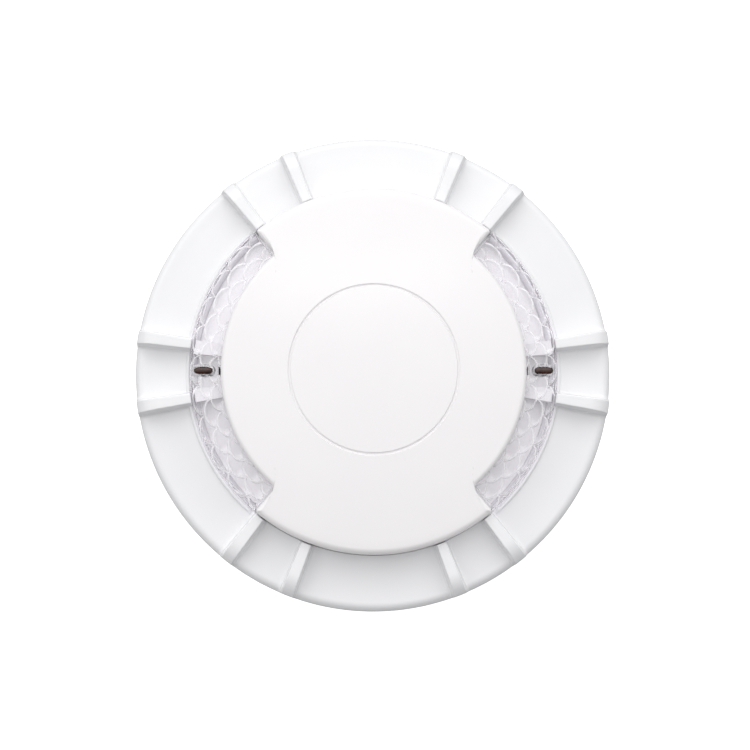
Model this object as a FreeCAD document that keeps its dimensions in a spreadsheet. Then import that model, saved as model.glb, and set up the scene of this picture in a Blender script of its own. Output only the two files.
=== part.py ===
"""Ceiling heat detector with a built-in sounder and beacon.

A round head twists onto a shallow mounting base. The head's ribbed skirt carries a domed front cover
with two arc-shaped notches. A clear lens fills each notch, and a bead thermistor stands in a slot in
the middle of each lens.

Frame: origin at the centre of the base's back face, +Z out of the ceiling towards the front cover.
Sizes are in millimetres and degrees.
"""
import FreeCAD, Part
import math
import os
import Sketcher

VECTOR = FreeCAD.Vector
SIZES = {
    # skirt: outer shell of the head
    "skirt_radius": 85.0,
    "skirt_foot_radius": 84.4,
    "skirt_foot_height": 3.0,
    "skirt_wall": 2.2,
    "rim_height": 29.0,
    "rim_roll_radius": 3.2,
    "floor_flat_radius": 81.8,
    "floor_flat_height": 32.2,
    "floor_sweep_radius": 60.0,
    "floor_inner_height": 34.8,
    "well_radius": 65.4,
    "seat_height": 31.0,
    "collar_bore_radius": 62.4,
    "collar_outer_radius": 64.6,
    "collar_foot_height": 20.0,
    # ribs: wedges between the scooped sectors of the skirt
    "rib_spread": 4.2,
    "rib_angle_low": 8.5,
    "rib_angle_middle": 52.0,
    "rib_angle_high": 68.7,
    "rib_root_radius": 65.8,
    "rib_root_height": 39.6,
    "rib_knee_radius": 76.0,
    "rib_knee_height": 39.0,
    "rib_crown_radius": 10.6,
    "rib_tip_radius": 84.7,
    "rib_tip_height": 33.5,
    # front cover
    "cover_radius": 65.0,
    "cover_wall": 2.2,
    "cover_foot_height": 31.0,
    "cover_edge_height": 41.0,
    "cover_edge_radius": 2.5,
    "crown_height": 48.0,
    "dome_end_radius": 63.0,
    "dome_end_height": 43.0,
    "dome_under_height": 40.6,
    "ring_groove_radius": 29.8,
    "ring_groove_width": 0.8,
    "ring_groove_floor": 46.3,
    "notch_radius": 54.0,
    "notch_half_angle": 50.0,
    "notch_corner_radius": 2.0,
    "boss_ring_radius": 42.0,
    "boss_radius": 3.5,
    "boss_foot_height": 30.8,
    "boss_top_height": 44.6,
    "boss_bore_radius": 1.55,
    "boss_bore_depth": 11.8,
    "sound_slot_foot": 35.8,
    "sound_slot_top": 38.4,
    "sound_slot_spread_wide": 26.0,
    "sound_slot_spread_narrow": 8.0,
    "sound_slot_angle_side": 60.35,
    # lenses
    "lens_half_angle": 49.5,
    "lens_outer_radius": 65.0,
    "lens_inner_radius": 50.5,
    "lens_wall": 1.8,
    "lens_foot_height": 31.2,
    "lens_side_height": 39.4,
    "lens_shoulder_radius": 1.8,
    "lens_shoulder_start": 63.2,
    "lens_shoulder_height": 41.2,
    "lens_inner_height": 42.0,
    "lens_end_spread": 2.0,
    "lens_end_gap": 0.3,
    "sensor_slot_radius": 60.2,
    "sensor_slot_length": 6.9,
    "sensor_slot_width": 2.8,
    "clip_window_radius": 54.3,
    "clip_window_width": 3.3,
    "clip_window_depth": 1.5,
    # light tray under the lenses
    "tray_inner_radius": 46.2,
    "tray_outer_radius": 62.2,
    "tray_foot_height": 30.8,
    "tray_floor_height": 32.0,
    "tray_barrier_radius": 49.4,
    "tray_barrier_wall": 1.4,
    "tray_barrier_height": 38.8,
    "tray_cut_depth": 4.0,
    "baffle_angle": 7.75,
    "baffle_spread": 4.4,
    "baffle_end_angle": 51.0,
    "baffle_end_spread": 1.6,
    "led_ring_radius": 52.8,
    "led_angle_near": 18.4,
    "led_angle_far": 41.0,
    "led_length": 3.6,
    "led_width": 3.0,
    "led_height": 1.9,
    "led_window": 4.6,
    # thermistors
    "bead_length": 6.2,
    "bead_radius": 1.15,
    "bead_height": 40.8,
    "sensor_lead_radius": 0.25,
    "sensor_lead_pitch": 2.0,
    "sensor_lead_ring": 59.2,
    "sensor_lead_hole": 0.5,
    # boards
    "board_thickness": 1.6,
    "front_board_radius": 61.8,
    "front_board_height": 29.0,
    "rear_board_radius": 37.0,
    "rear_board_height": 13.0,
    "board_hole_radius": 1.8,
    # rear housing
    "spigot_radius": 48.5,
    "spigot_foot_height": 8.0,
    "housing_wall": 2.0,
    "housing_shoulder_height": 14.0,
    "housing_radius": 62.0,
    "housing_top_height": 28.9,
    "flange_radius": 64.4,
    "seal_groove_foot": 24.1,
    "seal_groove_top": 25.9,
    "seal_groove_radius": 60.7,
    "post_radius": 4.4,
    "post_bore_radius": 1.7,
    "post_angle": 45.0,
    "screw_recess_radius": 3.1,
    "screw_recess_top": 11.0,
    "screw_head_radius": 2.8,
    "screw_head_height": 2.0,
    "screw_shank_radius": 1.5,
    "screw_tip_height": 41.5,
    "screw_slot_length": 4.4,
    "screw_slot_width": 0.8,
    "pillar_radius": 2.2,
    "pillar_ring_radius": 32.0,
    "pillar_angle": 65.0,
    "switch_window_length": 12.4,
    "switch_window_width": 7.2,
    "lug_radius": 51.4,
    "lug_angle": 55.0,
    "lug_spread": 16.0,
    # mounting base
    "base_radius": 80.0,
    "base_plate": 2.5,
    "base_rim_height": 12.0,
    "base_rim_wall": 2.0,
    "socket_radius": 52.0,
    "socket_wall": 2.5,
    "socket_height": 13.0,
    "ledge_radius": 49.6,
    "ledge_foot_height": 10.5,
    "ledge_angle": 45.0,
    "ledge_spread": 40.0,
    "stop_angle": 44.5,
    "stop_spread": 3.0,
    "contact_angle": 20.0,
    "contact_window_spread": 8.6,
    "contact_window_top": 9.0,
    "cable_entry_radius": 14.0,
    "slot_pitch": 60.0,
    "slot_length": 10.0,
    "slot_width": 4.5,
    "hole_pitch": 78.0,
    "hole_radius": 2.25,
    # terminals and contacts
    "terminal_radius": 66.0,
    "terminal_pad_length": 14.0,
    "terminal_pad_width": 11.0,
    "terminal_pad_height": 4.5,
    "contact_thickness": 0.6,
    "contact_width": 6.0,
    "contact_tip_radius": 30.0,
    "contact_tip_height": 7.3,
    "contact_lead_in": 4.0,
    "contact_bend_radius": 44.0,
    "clamp_side": 8.0,
    "clamp_thickness": 1.2,
    "terminal_screw_radius": 1.7,
    "terminal_head_radius": 3.2,
    "terminal_head_height": 2.2,
    "terminal_slot_width": 0.9,
    "blade_inner_radius": 26.0,
    "blade_outer_radius": 38.0,
    "blade_thickness": 0.6,
    "blade_spread": 24.0,
    "blade_angle": 22.0,
    "rivet_radius": 1.2,
    "rivet_hole_radius": 1.3,
    "rivet_ring_radius": 34.5,
    # sounder
    "cup_radius": 24.0,
    "cup_wall": 2.5,
    "cup_height": 13.0,
    "cup_ledge_radius": 19.0,
    "cup_ledge_height": 38.0,
    "diaphragm_radius": 21.2,
    "diaphragm_thickness": 0.3,
    "ceramic_radius": 13.0,
    "ceramic_thickness": 0.25,
    "clamp_ring_height": 1.8,
    # parts on the rear board
    "link_offset": 26.0,
    "link_length": 15.2,
    "link_width": 5.0,
    "chip_side": 9.0,
    "chip_height": 1.4,
    "coil_radius": 5.5,
    "coil_height": 9.0,
    "coil_offset": 21.0,
    "capacitor_radius": 4.0,
    "capacitor_height": 11.0,
    "capacitor_pitch": 11.0,
    # option switch
    "switch_length": 11.6,
    "switch_width": 6.4,
    "switch_height": 4.2,
    "switch_pitch": 2.54,
    "switch_offset": -17.0,
    "slider_width": 1.2,
    "slider_length": 1.4,
    "slider_height": 1.2,
    "slider_travel": 1.2,
    "slider_proud": 0.5,
    # clearances between pieces, and how far a cutting shape runs past the surface it opens
    "lug_play": 0.3,
    "slider_play": 0.1,
    "screw_play": 0.05,
    "seal_play": 0.02,
    "cut_margin": 1.0,
}
LED_ANGLES = ("led_angle_near", "led_angle_far", "0 - led_angle_near", "0 - led_angle_far")
SLIDER_PLACES = ("-1.5", "-0.5", "0.5", "1.5")
TINY = 1e-4

doc = FreeCAD.newDocument("heat_detector")
sheet = doc.addObject("Spreadsheet::Sheet", "Sizes")
for row, (alias, number) in enumerate(SIZES.items(), start=1):
    sheet.set(f"A{row}", alias)
    sheet.set(f"B{row}", str(number))
    sheet.setAlias(f"B{row}", alias)
doc.recompute()

nodes = {}


# ---- sizes as text: a sum such as "cover_radius - 2*cover_wall" ------------------------------------

def term_parts(word):
    factor, _, name = word.rpartition("*")
    return (float(factor) if factor else 1.0), name


def value(text):
    """The number that a sum of sizes stands for."""
    total = 0.0
    sign = 1.0
    for word in str(text).split():
        if word in "+-":
            sign = 1.0 if word == "+" else -1.0
            continue
        factor, name = term_parts(word)
        total += sign * factor * (sheet.get(name) if name[0].isalpha() else float(name))
        sign = 1.0
    return total


def bound(text):
    """The same sum as an expression that reads the sheet."""
    words = []
    for word in str(text).split():
        factor, star, name = word.rpartition("*")
        prefix = "Sizes." if name[0].isalpha() else ""
        words.append(word if word in "+-" else f"{factor}{star}{prefix}{name}")
    return " ".join(words)


def bind(thing, prop, text):
    """Sets a property and ties it to the sheet."""
    if not prop.startswith((".", "Constraints")) and "." not in prop:
        setattr(thing, prop, value(text))
    thing.setExpression(prop, bound(text))


# ---- sketches and features -------------------------------------------------------------------------

def new_body(label):
    body = doc.addObject("PartDesign::Body", label)
    body.Label = label
    body.AllowCompound = True
    nodes[label] = body
    return body


def new_sketch(body, role="XZ_Plane", lift=None, turn=None):
    """A sketch on a plane of the body's origin, lifted along its normal or turned about Z."""
    sketch = body.newObject("Sketcher::SketchObject", f"{body.Name}_sketch")
    plane = [f for f in body.Origin.OriginFeatures if f.Role == role][0]
    sketch.AttachmentSupport = (plane, [""])
    sketch.MapMode = "FlatFace"
    if lift is not None:
        sketch.AttachmentOffset = FreeCAD.Placement(VECTOR(0, 0, value(lift)), FreeCAD.Rotation())
        sketch.setExpression("AttachmentOffset.Base.z", bound(lift))
    if turn is not None:
        axis = VECTOR(0, 1, 0) if role == "XZ_Plane" else VECTOR(0, 0, 1)
        spin = FreeCAD.Rotation(axis, value(turn))
        sketch.AttachmentOffset = FreeCAD.Placement(sketch.AttachmentOffset.Base, spin)
        if abs(value(turn)) > TINY:
            sketch.setExpression("AttachmentOffset.Rotation.Angle", bound(turn))
    return sketch


def pin_point(sketch, geometry, corner, across, up):
    """Fixes one sketch point by its distances from the sketch's origin."""
    for kind, axis, text in (("DistanceX", -2, across), ("DistanceY", -1, up)):
        if abs(value(text)) < TINY:
            sketch.addConstraint(Sketcher.Constraint("PointOnObject", geometry, corner, axis))
        else:
            index = sketch.addConstraint(
                Sketcher.Constraint(kind, -1, 1, geometry, corner, value(text)))
            sketch.setExpression(f"Constraints[{index}]", bound(text))


def arc_between(start, end, radius, side):
    """A minor arc from start to end; side +1 puts its centre to the left of that direction."""
    middle = (start + end) * 0.5
    chord = end - start
    left = VECTOR(-chord.y, chord.x, 0).normalize()
    centre = middle + left * side * math.sqrt(max(radius ** 2 - (chord.Length / 2) ** 2, 0.0))
    circle = Part.Circle(centre, VECTOR(0, 0, 1), radius)
    angles = [math.atan2(p.y - centre.y, p.x - centre.x) for p in (start, end)]
    if side > 0:
        return Part.ArcOfCircle(circle, angles[0], angles[1]), (1, 2)
    return Part.ArcOfCircle(circle, angles[1], angles[0]), (2, 1)


def radius_about_axis(start, end):
    """The radius of the arc through two points that has its centre on the vertical axis."""
    rise = (start.x ** 2 + start.y ** 2 - end.x ** 2 - end.y ** 2) / (2 * (start.y - end.y))
    return math.hypot(start.x, start.y - rise)


def outline(sketch, corners):
    """A closed outline. A corner is (across, up), or (across, up, arc radius, side) when an arc follows.

    The arc radius "on_axis" asks for an arc whose centre lies on the vertical axis.
    """
    points = [VECTOR(value(c[0]), value(c[1]), 0) for c in corners]
    ends = []
    for index, corner in enumerate(corners):
        start, end = points[index], points[(index + 1) % len(points)]
        if len(corner) == 4:
            on_axis = corner[2] == "on_axis"
            radius = radius_about_axis(start, end) if on_axis else value(corner[2])
            shape, order = arc_between(start, end, radius, corner[3])
        else:
            shape, order = Part.LineSegment(start, end), (1, 2)
        ends.append((sketch.addGeometry(shape, False), order))
    for index, (geometry, order) in enumerate(ends):
        following, next_order = ends[(index + 1) % len(ends)]
        sketch.addConstraint(
            Sketcher.Constraint("Coincident", geometry, order[1], following, next_order[0]))
        pin_point(sketch, geometry, order[0], corners[index][0], corners[index][1])
        if len(corners[index]) == 4 and corners[index][2] == "on_axis":
            sketch.addConstraint(Sketcher.Constraint("PointOnObject", geometry, 3, -2))
        elif len(corners[index]) == 4:
            number = sketch.addConstraint(
                Sketcher.Constraint("Radius", geometry, value(corners[index][2])))
            sketch.setExpression(f"Constraints[{number}]", bound(corners[index][2]))
    return sketch


def box_outline(sketch, left, right, low, high):
    return outline(sketch, [(left, low), (right, low), (right, high), (left, high)])


def circle(sketch, across, up, radius):
    centre = VECTOR(value(across), value(up), 0)
    index = sketch.addGeometry(Part.Circle(centre, VECTOR(0, 0, 1), value(radius)), False)
    pin_point(sketch, index, 3, across, up)
    number = sketch.addConstraint(Sketcher.Constraint("Radius", index, value(radius)))
    sketch.setExpression(f"Constraints[{number}]", bound(radius))
    return sketch


def turned(body, sketch, kind="Revolution", spread=None):
    """Revolves a sketch about its own vertical axis: all the way, or through an angle centred on it."""
    feature = body.newObject(f"PartDesign::{kind}", f"{body.Name}_{kind.lower()}")
    feature.Profile = sketch
    feature.ReferenceAxis = (sketch, ["V_Axis"])
    feature.Angle = 360.0
    if spread is not None:
        feature.Midplane = True
        bind(feature, "Angle", spread)
    sketch.Visibility = False
    return feature


def extruded(body, sketch, length, kind="Pad", midplane=False, reverse=False):
    feature = body.newObject(f"PartDesign::{kind}", f"{body.Name}_{kind.lower()}")
    feature.Profile = sketch
    bind(feature, "Length", length)
    feature.Midplane = midplane
    feature.Reversed = reverse
    sketch.Visibility = False
    return feature


def patterned(body, features, count=4):
    """Repeats features evenly about Z."""
    pattern = body.newObject("PartDesign::PolarPattern", f"{body.Name}_pattern")
    pattern.Originals = features
    axis = [f for f in body.Origin.OriginFeatures if f.Role == "Z_Axis"][0]
    pattern.Axis = (axis, [""])
    pattern.Angle = 360.0
    pattern.Occurrences = count
    body.Tip = pattern
    return pattern


def four_ways(name):
    """An angle and its mirror images about X and Y."""
    return [name, f"180 - {name}", f"180 + {name}", f"360 - {name}"]


def primitive(kind, name, places, **sizes):
    """A Part primitive with bound sizes and a bound position."""
    solid = doc.addObject(f"Part::{kind}", name)
    for prop, text in sizes.items():
        bind(solid, prop, text)
    for letter, text in zip("xyz", places):
        solid.setExpression(f"Placement.Base.{letter}", bound(text))
    return solid


def grouped(label, solids):
    """Separate identical solids kept as one named sub-part."""
    group = doc.addObject("Part::Compound", label)
    group.Label = label
    group.Links = solids
    nodes[label] = group
    return group


# ---- head: outer pieces ----------------------------------------------------------------------------

def make_skirt():
    body = new_body("skirt")
    shell = outline(new_sketch(body), [
        ("collar_bore_radius", "collar_foot_height"),
        ("collar_outer_radius", "collar_foot_height"),
        ("collar_outer_radius", "seat_height - skirt_wall"),
        ("well_radius + skirt_wall", "seat_height - skirt_wall"),
        ("well_radius + skirt_wall", "floor_inner_height - skirt_wall"),
        ("floor_flat_radius", "floor_flat_height - skirt_wall"),
        ("skirt_radius - skirt_wall", "rim_height - skirt_wall"),
        ("skirt_foot_radius - skirt_wall", "skirt_foot_height"),
        ("skirt_foot_radius", "skirt_foot_height"),
        ("skirt_radius", "rim_height", "rim_roll_radius", 1),
        ("floor_flat_radius", "floor_flat_height", "floor_sweep_radius", -1),
        ("well_radius", "floor_inner_height"),
        ("well_radius", "seat_height"),
        ("collar_bore_radius", "seat_height"),
    ])
    turned(body, shell)
    for name in ("rib_angle_low", "rib_angle_middle", "rib_angle_high"):
        for angle in four_ways(name):
            rib = outline(new_sketch(body, turn=angle), [
                ("rib_root_radius", "floor_inner_height - 0.5*skirt_wall"),
                ("floor_flat_radius", "floor_flat_height - 0.5*skirt_wall"),
                ("rib_tip_radius", "rim_height - 0.5*skirt_wall"),
                ("rib_tip_radius", "rib_tip_height", "rib_crown_radius", 1),
                ("rib_knee_radius", "rib_knee_height"),
                ("rib_root_radius", "rib_root_height"),
            ])
            turned(body, rib, spread="rib_spread")


def make_front_cover():
    body = new_body("front_cover")
    shell = outline(new_sketch(body), [
        ("cover_radius - cover_wall", "cover_foot_height"),
        ("cover_radius", "cover_foot_height"),
        ("cover_radius", "cover_edge_height", "cover_edge_radius", 1),
        ("dome_end_radius", "dome_end_height", "on_axis", 1),
        ("0", "crown_height"),
        ("0", "crown_height - cover_wall", "on_axis", -1),
        ("cover_radius - cover_wall", "dome_under_height"),
    ])
    turned(body, shell)
    ring = box_outline(new_sketch(body), "ring_groove_radius - 0.5*ring_groove_width",
                       "ring_groove_radius + 0.5*ring_groove_width",
                       "ring_groove_floor", "crown_height + cut_margin")
    turned(body, ring, kind="Groove")
    for angle in ("0", "180"):
        notch = box_outline(new_sketch(body, turn=angle), "notch_radius", "cover_radius + cut_margin",
                            "cover_foot_height - cut_margin", "crown_height + cut_margin")
        turned(body, notch, kind="Groove", spread="2*notch_half_angle")
    round_edges(body, "notch_corner_radius", is_notch_corner)
    for angle in ("90", "270"):
        cut_sound_slot(body, angle, "sound_slot_spread_wide")
    for angle in four_ways("sound_slot_angle_side"):
        cut_sound_slot(body, angle, "sound_slot_spread_narrow")
    boss = circle(new_sketch(body, "XY_Plane", lift="boss_foot_height", turn="post_angle"),
                  "boss_ring_radius", "0", "boss_radius")
    bosses = extruded(body, boss, "boss_top_height - boss_foot_height")
    bore = circle(new_sketch(body, "XY_Plane", lift="boss_foot_height", turn="post_angle"),
                  "boss_ring_radius", "0", "boss_bore_radius")
    bores = extruded(body, bore, "boss_bore_depth", kind="Pocket", reverse=True)
    patterned(body, [bosses, bores])


def cut_sound_slot(body, angle, spread):
    """One outlet through the cover's side wall, between two ribs."""
    slot = box_outline(new_sketch(body, turn=angle), "cover_radius - 2*cover_wall",
                       "cover_radius + cut_margin", "sound_slot_foot", "sound_slot_top")
    turned(body, slot, kind="Groove", spread=spread)


def is_notch_corner(edge):
    """True for the upright edges where a notch's arc meets its two radial sides."""
    first, last = edge.Vertexes[0].Point, edge.Vertexes[-1].Point
    upright = math.hypot(first.x - last.x, first.y - last.y) < TINY
    return upright and abs(math.hypot(first.x, first.y) - value("notch_radius")) < TINY


def round_edges(body, radius, wanted):
    doc.recompute()
    tip = body.Tip
    names = [f"Edge{i}" for i, edge in enumerate(tip.Shape.Edges, start=1) if wanted(edge)]
    fillet = body.newObject("PartDesign::Fillet", f"{body.Name}_fillet")
    fillet.Base = (tip, names)
    bind(fillet, "Radius", radius)
    return fillet


def make_lens(label, facing):
    body = new_body(label)
    shell = outline(new_sketch(body, turn=facing), [
        ("lens_outer_radius - lens_wall", "lens_foot_height"),
        ("lens_outer_radius", "lens_foot_height"),
        ("lens_outer_radius", "lens_side_height", "lens_shoulder_radius", 1),
        ("lens_shoulder_start", "lens_shoulder_height"),
        ("lens_inner_radius", "lens_inner_height"),
        ("lens_inner_radius", "lens_inner_height - lens_wall"),
        ("lens_outer_radius - lens_wall", "lens_shoulder_height - lens_wall"),
    ])
    turned(body, shell, spread="2*lens_half_angle")
    for side in ("lens_half_angle - 0.5*lens_end_spread", "0 - lens_half_angle + 0.5*lens_end_spread"):
        wall = outline(new_sketch(body, turn=f"{facing} + {side}"), [
            ("notch_radius", "tray_floor_height + lens_end_gap"),
            ("lens_outer_radius - 0.5*lens_wall", "tray_floor_height + lens_end_gap"),
            ("lens_outer_radius - 0.5*lens_wall", "lens_shoulder_height - 0.5*lens_wall"),
            ("notch_radius", "lens_shoulder_height - 0.5*lens_wall"),
        ])
        turned(body, wall, spread="lens_end_spread")
    straight = box_outline(new_sketch(body, "XY_Plane", lift="lens_inner_height + cut_margin", turn=facing),
                           "sensor_slot_radius - 0.5*sensor_slot_length + 0.5*sensor_slot_width",
                           "sensor_slot_radius + 0.5*sensor_slot_length - 0.5*sensor_slot_width",
                           "-0.5*sensor_slot_width", "0.5*sensor_slot_width")
    extruded(body, straight, "2*lens_wall", kind="Pocket")
    ends = new_sketch(body, "XY_Plane", lift="lens_inner_height + cut_margin", turn=facing)
    circle(ends, "sensor_slot_radius - 0.5*sensor_slot_length + 0.5*sensor_slot_width", "0",
           "0.5*sensor_slot_width")
    circle(ends, "sensor_slot_radius + 0.5*sensor_slot_length - 0.5*sensor_slot_width", "0",
           "0.5*sensor_slot_width")
    extruded(body, ends, "2*lens_wall", kind="Pocket")
    window = box_outline(new_sketch(body, "XY_Plane", lift="lens_inner_height + cut_margin", turn=facing),
                         "clip_window_radius - 0.5*clip_window_depth",
                         "clip_window_radius + 0.5*clip_window_depth",
                         "-0.5*clip_window_width", "0.5*clip_window_width")
    extruded(body, window, "2*lens_wall", kind="Pocket")


# ---- head: light and heat sensing ------------------------------------------------------------------

def make_light_tray(label, facing):
    body = new_body(label)
    floor = outline(new_sketch(body, turn=facing), [
        ("tray_inner_radius", "tray_foot_height"),
        ("tray_outer_radius", "tray_foot_height"),
        ("tray_outer_radius", "tray_floor_height"),
        ("tray_barrier_radius + tray_barrier_wall", "tray_floor_height"),
        ("tray_barrier_radius + tray_barrier_wall", "tray_barrier_height"),
        ("tray_barrier_radius", "tray_barrier_height"),
        ("tray_barrier_radius", "tray_floor_height"),
        ("tray_inner_radius", "tray_floor_height"),
    ])
    turned(body, floor, spread="2*baffle_end_angle + baffle_end_spread")
    walls = (("baffle_angle", "baffle_spread"), ("0 - baffle_angle", "baffle_spread"),
             ("baffle_end_angle", "baffle_end_spread"), ("0 - baffle_end_angle", "baffle_end_spread"))
    for angle, spread in walls:
        wall = box_outline(new_sketch(body, turn=f"{facing} + {angle}"),
                           "tray_barrier_radius + 0.5*tray_barrier_wall", "tray_outer_radius",
                           "0.5*tray_foot_height + 0.5*tray_floor_height", "tray_barrier_height")
        turned(body, wall, spread=spread)
    for angle in LED_ANGLES:
        hole = box_outline(new_sketch(body, "XY_Plane", lift="tray_floor_height + cut_margin",
                                      turn=f"{facing} + {angle}"),
                           "led_ring_radius - 0.5*led_window", "led_ring_radius + 0.5*led_window",
                           "-0.5*led_window", "0.5*led_window")
        extruded(body, hole, "tray_cut_depth", kind="Pocket")
    leads = new_sketch(body, "XY_Plane", lift="tray_floor_height + cut_margin", turn=facing)
    for side in ("-0.5", "+0.5"):
        circle(leads, f"sensor_lead_ring {side[0]} 0.5*sensor_lead_pitch", "0", "sensor_lead_hole")
    extruded(body, leads, "tray_cut_depth", kind="Pocket")


def make_beacon_leds():
    body = new_body("beacon_leds")
    chips = []
    for angle in LED_ANGLES:
        chip = box_outline(new_sketch(body, "XY_Plane", lift="front_board_height + board_thickness",
                                      turn=angle),
                           "led_ring_radius - 0.5*led_width", "led_ring_radius + 0.5*led_width",
                           "-0.5*led_length", "0.5*led_length")
        chips.append(extruded(body, chip, "led_height"))
    patterned(body, chips, count=2)


def make_thermistors():
    beads = []
    leads = []
    for index, sign in enumerate(("", "-")):
        bead_place = (f"{sign}1*sensor_slot_radius", "0", "bead_height")
        beads.append(primitive("Ellipsoid", f"bead_{index}", bead_place, Radius1="bead_radius",
                               Radius2="0.5*bead_length", Radius3="bead_radius"))
        for side in ("-", "+"):
            across = f"{sign}1*sensor_lead_ring {side} 0.5*sensor_lead_pitch"
            leads.append(primitive("Cylinder", f"lead_{len(leads)}", (across, "0", "front_board_height"),
                                   Radius="sensor_lead_radius",
                                   Height="bead_height - bead_radius - front_board_height"))
    grouped("thermistor_beads", beads)
    grouped("thermistor_leads", leads)


# ---- head: boards and parts on them ----------------------------------------------------------------

def make_front_board():
    body = new_body("front_board")
    top = "front_board_height + board_thickness"
    disc = circle(new_sketch(body, "XY_Plane", lift="front_board_height"), "0", "0", "front_board_radius")
    extruded(body, disc, "board_thickness")
    hole = circle(new_sketch(body, "XY_Plane", lift=top, turn="post_angle"),
                  "boss_ring_radius", "0", "board_hole_radius")
    holes = extruded(body, hole, "board_thickness", kind="Pocket")
    patterned(body, [holes])
    leads = new_sketch(body, "XY_Plane", lift=top)
    for sign in ("-1*", "1*"):
        for side in ("-", "+"):
            circle(leads, f"{sign}sensor_lead_ring {side} 0.5*sensor_lead_pitch", "0", "sensor_lead_hole")
    extruded(body, leads, "board_thickness", kind="Pocket")


def make_rear_board():
    body = new_body("rear_board")
    disc = circle(new_sketch(body, "XY_Plane", lift="rear_board_height"), "0", "0", "rear_board_radius")
    extruded(body, disc, "board_thickness")


def make_capacitors():
    cans = [primitive("Cylinder", f"capacitor_{index}",
                      ("coil_offset", f"{side}*capacitor_pitch", "rear_board_height + board_thickness"),
                      Radius="capacitor_radius", Height="capacitor_height")
            for index, side in enumerate(("-0.5", "0.5"))]
    grouped("capacitors", cans)


def box_part(label, centre, size, foot):
    """A chip or connector: its centre, its length and width, and its foot and height."""
    block = primitive("Box", label, (f"{centre[0]} - 0.5*{size[0]}", f"{centre[1]} - 0.5*{size[1]}", foot),
                      Length=size[0], Width=size[1], Height=size[2])
    block.Label = label
    nodes[label] = block
    return block


# ---- head: rear housing and fixings ----------------------------------------------------------------

def make_rear_housing():
    body = new_body("rear_housing")
    shell = outline(new_sketch(body), [
        ("0", "spigot_foot_height"),
        ("spigot_radius", "spigot_foot_height"),
        ("spigot_radius", "housing_shoulder_height"),
        ("flange_radius", "housing_shoulder_height"),
        ("flange_radius", "collar_foot_height"),
        ("housing_radius", "collar_foot_height"),
        ("housing_radius", "housing_top_height"),
        ("housing_radius - housing_wall", "housing_top_height"),
        ("housing_radius - housing_wall", "housing_shoulder_height + housing_wall"),
        ("spigot_radius - housing_wall", "housing_shoulder_height + housing_wall"),
        ("spigot_radius - housing_wall", "spigot_foot_height + housing_wall"),
        ("0", "spigot_foot_height + housing_wall"),
    ])
    turned(body, shell)
    seat = box_outline(new_sketch(body), "seal_groove_radius", "housing_radius + cut_margin",
                       "seal_groove_foot", "seal_groove_top")
    turned(body, seat, kind="Groove")
    window = box_outline(new_sketch(body, "XY_Plane", lift="spigot_foot_height + 2*housing_wall"),
                         "-0.5*switch_window_length", "0.5*switch_window_length",
                         "switch_offset - 0.5*switch_window_width", "switch_offset + 0.5*switch_window_width")
    extruded(body, window, "3*housing_wall", kind="Pocket")
    lug = box_outline(new_sketch(body, turn="lug_angle"), "spigot_radius - 0.5*housing_wall", "lug_radius",
                      "spigot_foot_height", "ledge_foot_height - lug_play")
    lugs = turned(body, lug, spread="lug_spread")
    post = circle(new_sketch(body, "XY_Plane", lift="spigot_foot_height", turn="post_angle"),
                  "boss_ring_radius", "0", "post_radius")
    posts = extruded(body, post, "housing_top_height - spigot_foot_height")
    pillar = circle(new_sketch(body, "XY_Plane", lift="spigot_foot_height", turn="pillar_angle"),
                    "pillar_ring_radius", "0", "pillar_radius")
    pillars = extruded(body, pillar, "rear_board_height - spigot_foot_height")
    recess = circle(new_sketch(body, "XY_Plane", lift="spigot_foot_height", turn="post_angle"),
                    "boss_ring_radius", "0", "screw_recess_radius")
    recesses = extruded(body, recess, "screw_recess_top - spigot_foot_height", kind="Pocket", reverse=True)
    bore = circle(new_sketch(body, "XY_Plane", lift="spigot_foot_height", turn="post_angle"),
                  "boss_ring_radius", "0", "post_bore_radius")
    bores = extruded(body, bore, "housing_top_height - spigot_foot_height", kind="Pocket", reverse=True)
    rivet = circle(new_sketch(body, "XY_Plane", lift="spigot_foot_height", turn="blade_angle"),
                   "rivet_ring_radius", "0", "rivet_hole_radius")
    rivets = extruded(body, rivet, "housing_wall", kind="Pocket", reverse=True)
    patterned(body, [lugs, posts, pillars, recesses, bores, rivets])


def make_housing_screws():
    body = new_body("housing_screws")
    foot = "screw_recess_top - screw_head_height"
    head = circle(new_sketch(body, "XY_Plane", lift=foot, turn="post_angle"),
                  "boss_ring_radius", "0", "screw_head_radius")
    heads = extruded(body, head, "screw_head_height")
    shank = circle(new_sketch(body, "XY_Plane", lift="screw_recess_top - 0.5*screw_head_height",
                              turn="post_angle"),
                   "boss_ring_radius", "0", "screw_shank_radius")
    shanks = extruded(body, shank, "screw_tip_height - screw_recess_top + 0.5*screw_head_height")
    slot = box_outline(new_sketch(body, "XY_Plane", lift=foot, turn="post_angle"),
                       "boss_ring_radius - 0.5*screw_slot_length", "boss_ring_radius + 0.5*screw_slot_length",
                       "-0.5*screw_slot_width", "0.5*screw_slot_width")
    slots = extruded(body, slot, "0.5*screw_head_height", kind="Pocket", reverse=True)
    cross = box_outline(new_sketch(body, "XY_Plane", lift=foot, turn="post_angle"),
                        "boss_ring_radius - 0.5*screw_slot_width", "boss_ring_radius + 0.5*screw_slot_width",
                        "-0.5*screw_slot_length", "0.5*screw_slot_length")
    crosses = extruded(body, cross, "0.5*screw_head_height", kind="Pocket", reverse=True)
    patterned(body, [heads, shanks, slots, crosses])


def make_seal_ring():
    body = new_body("seal_ring")
    section = circle(new_sketch(body), "seal_groove_radius + 0.5*collar_bore_radius - 0.5*seal_groove_radius",
                     "0.5*seal_groove_foot + 0.5*seal_groove_top",
                     "0.5*collar_bore_radius - 0.5*seal_groove_radius - seal_play")
    turned(body, section)


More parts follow.
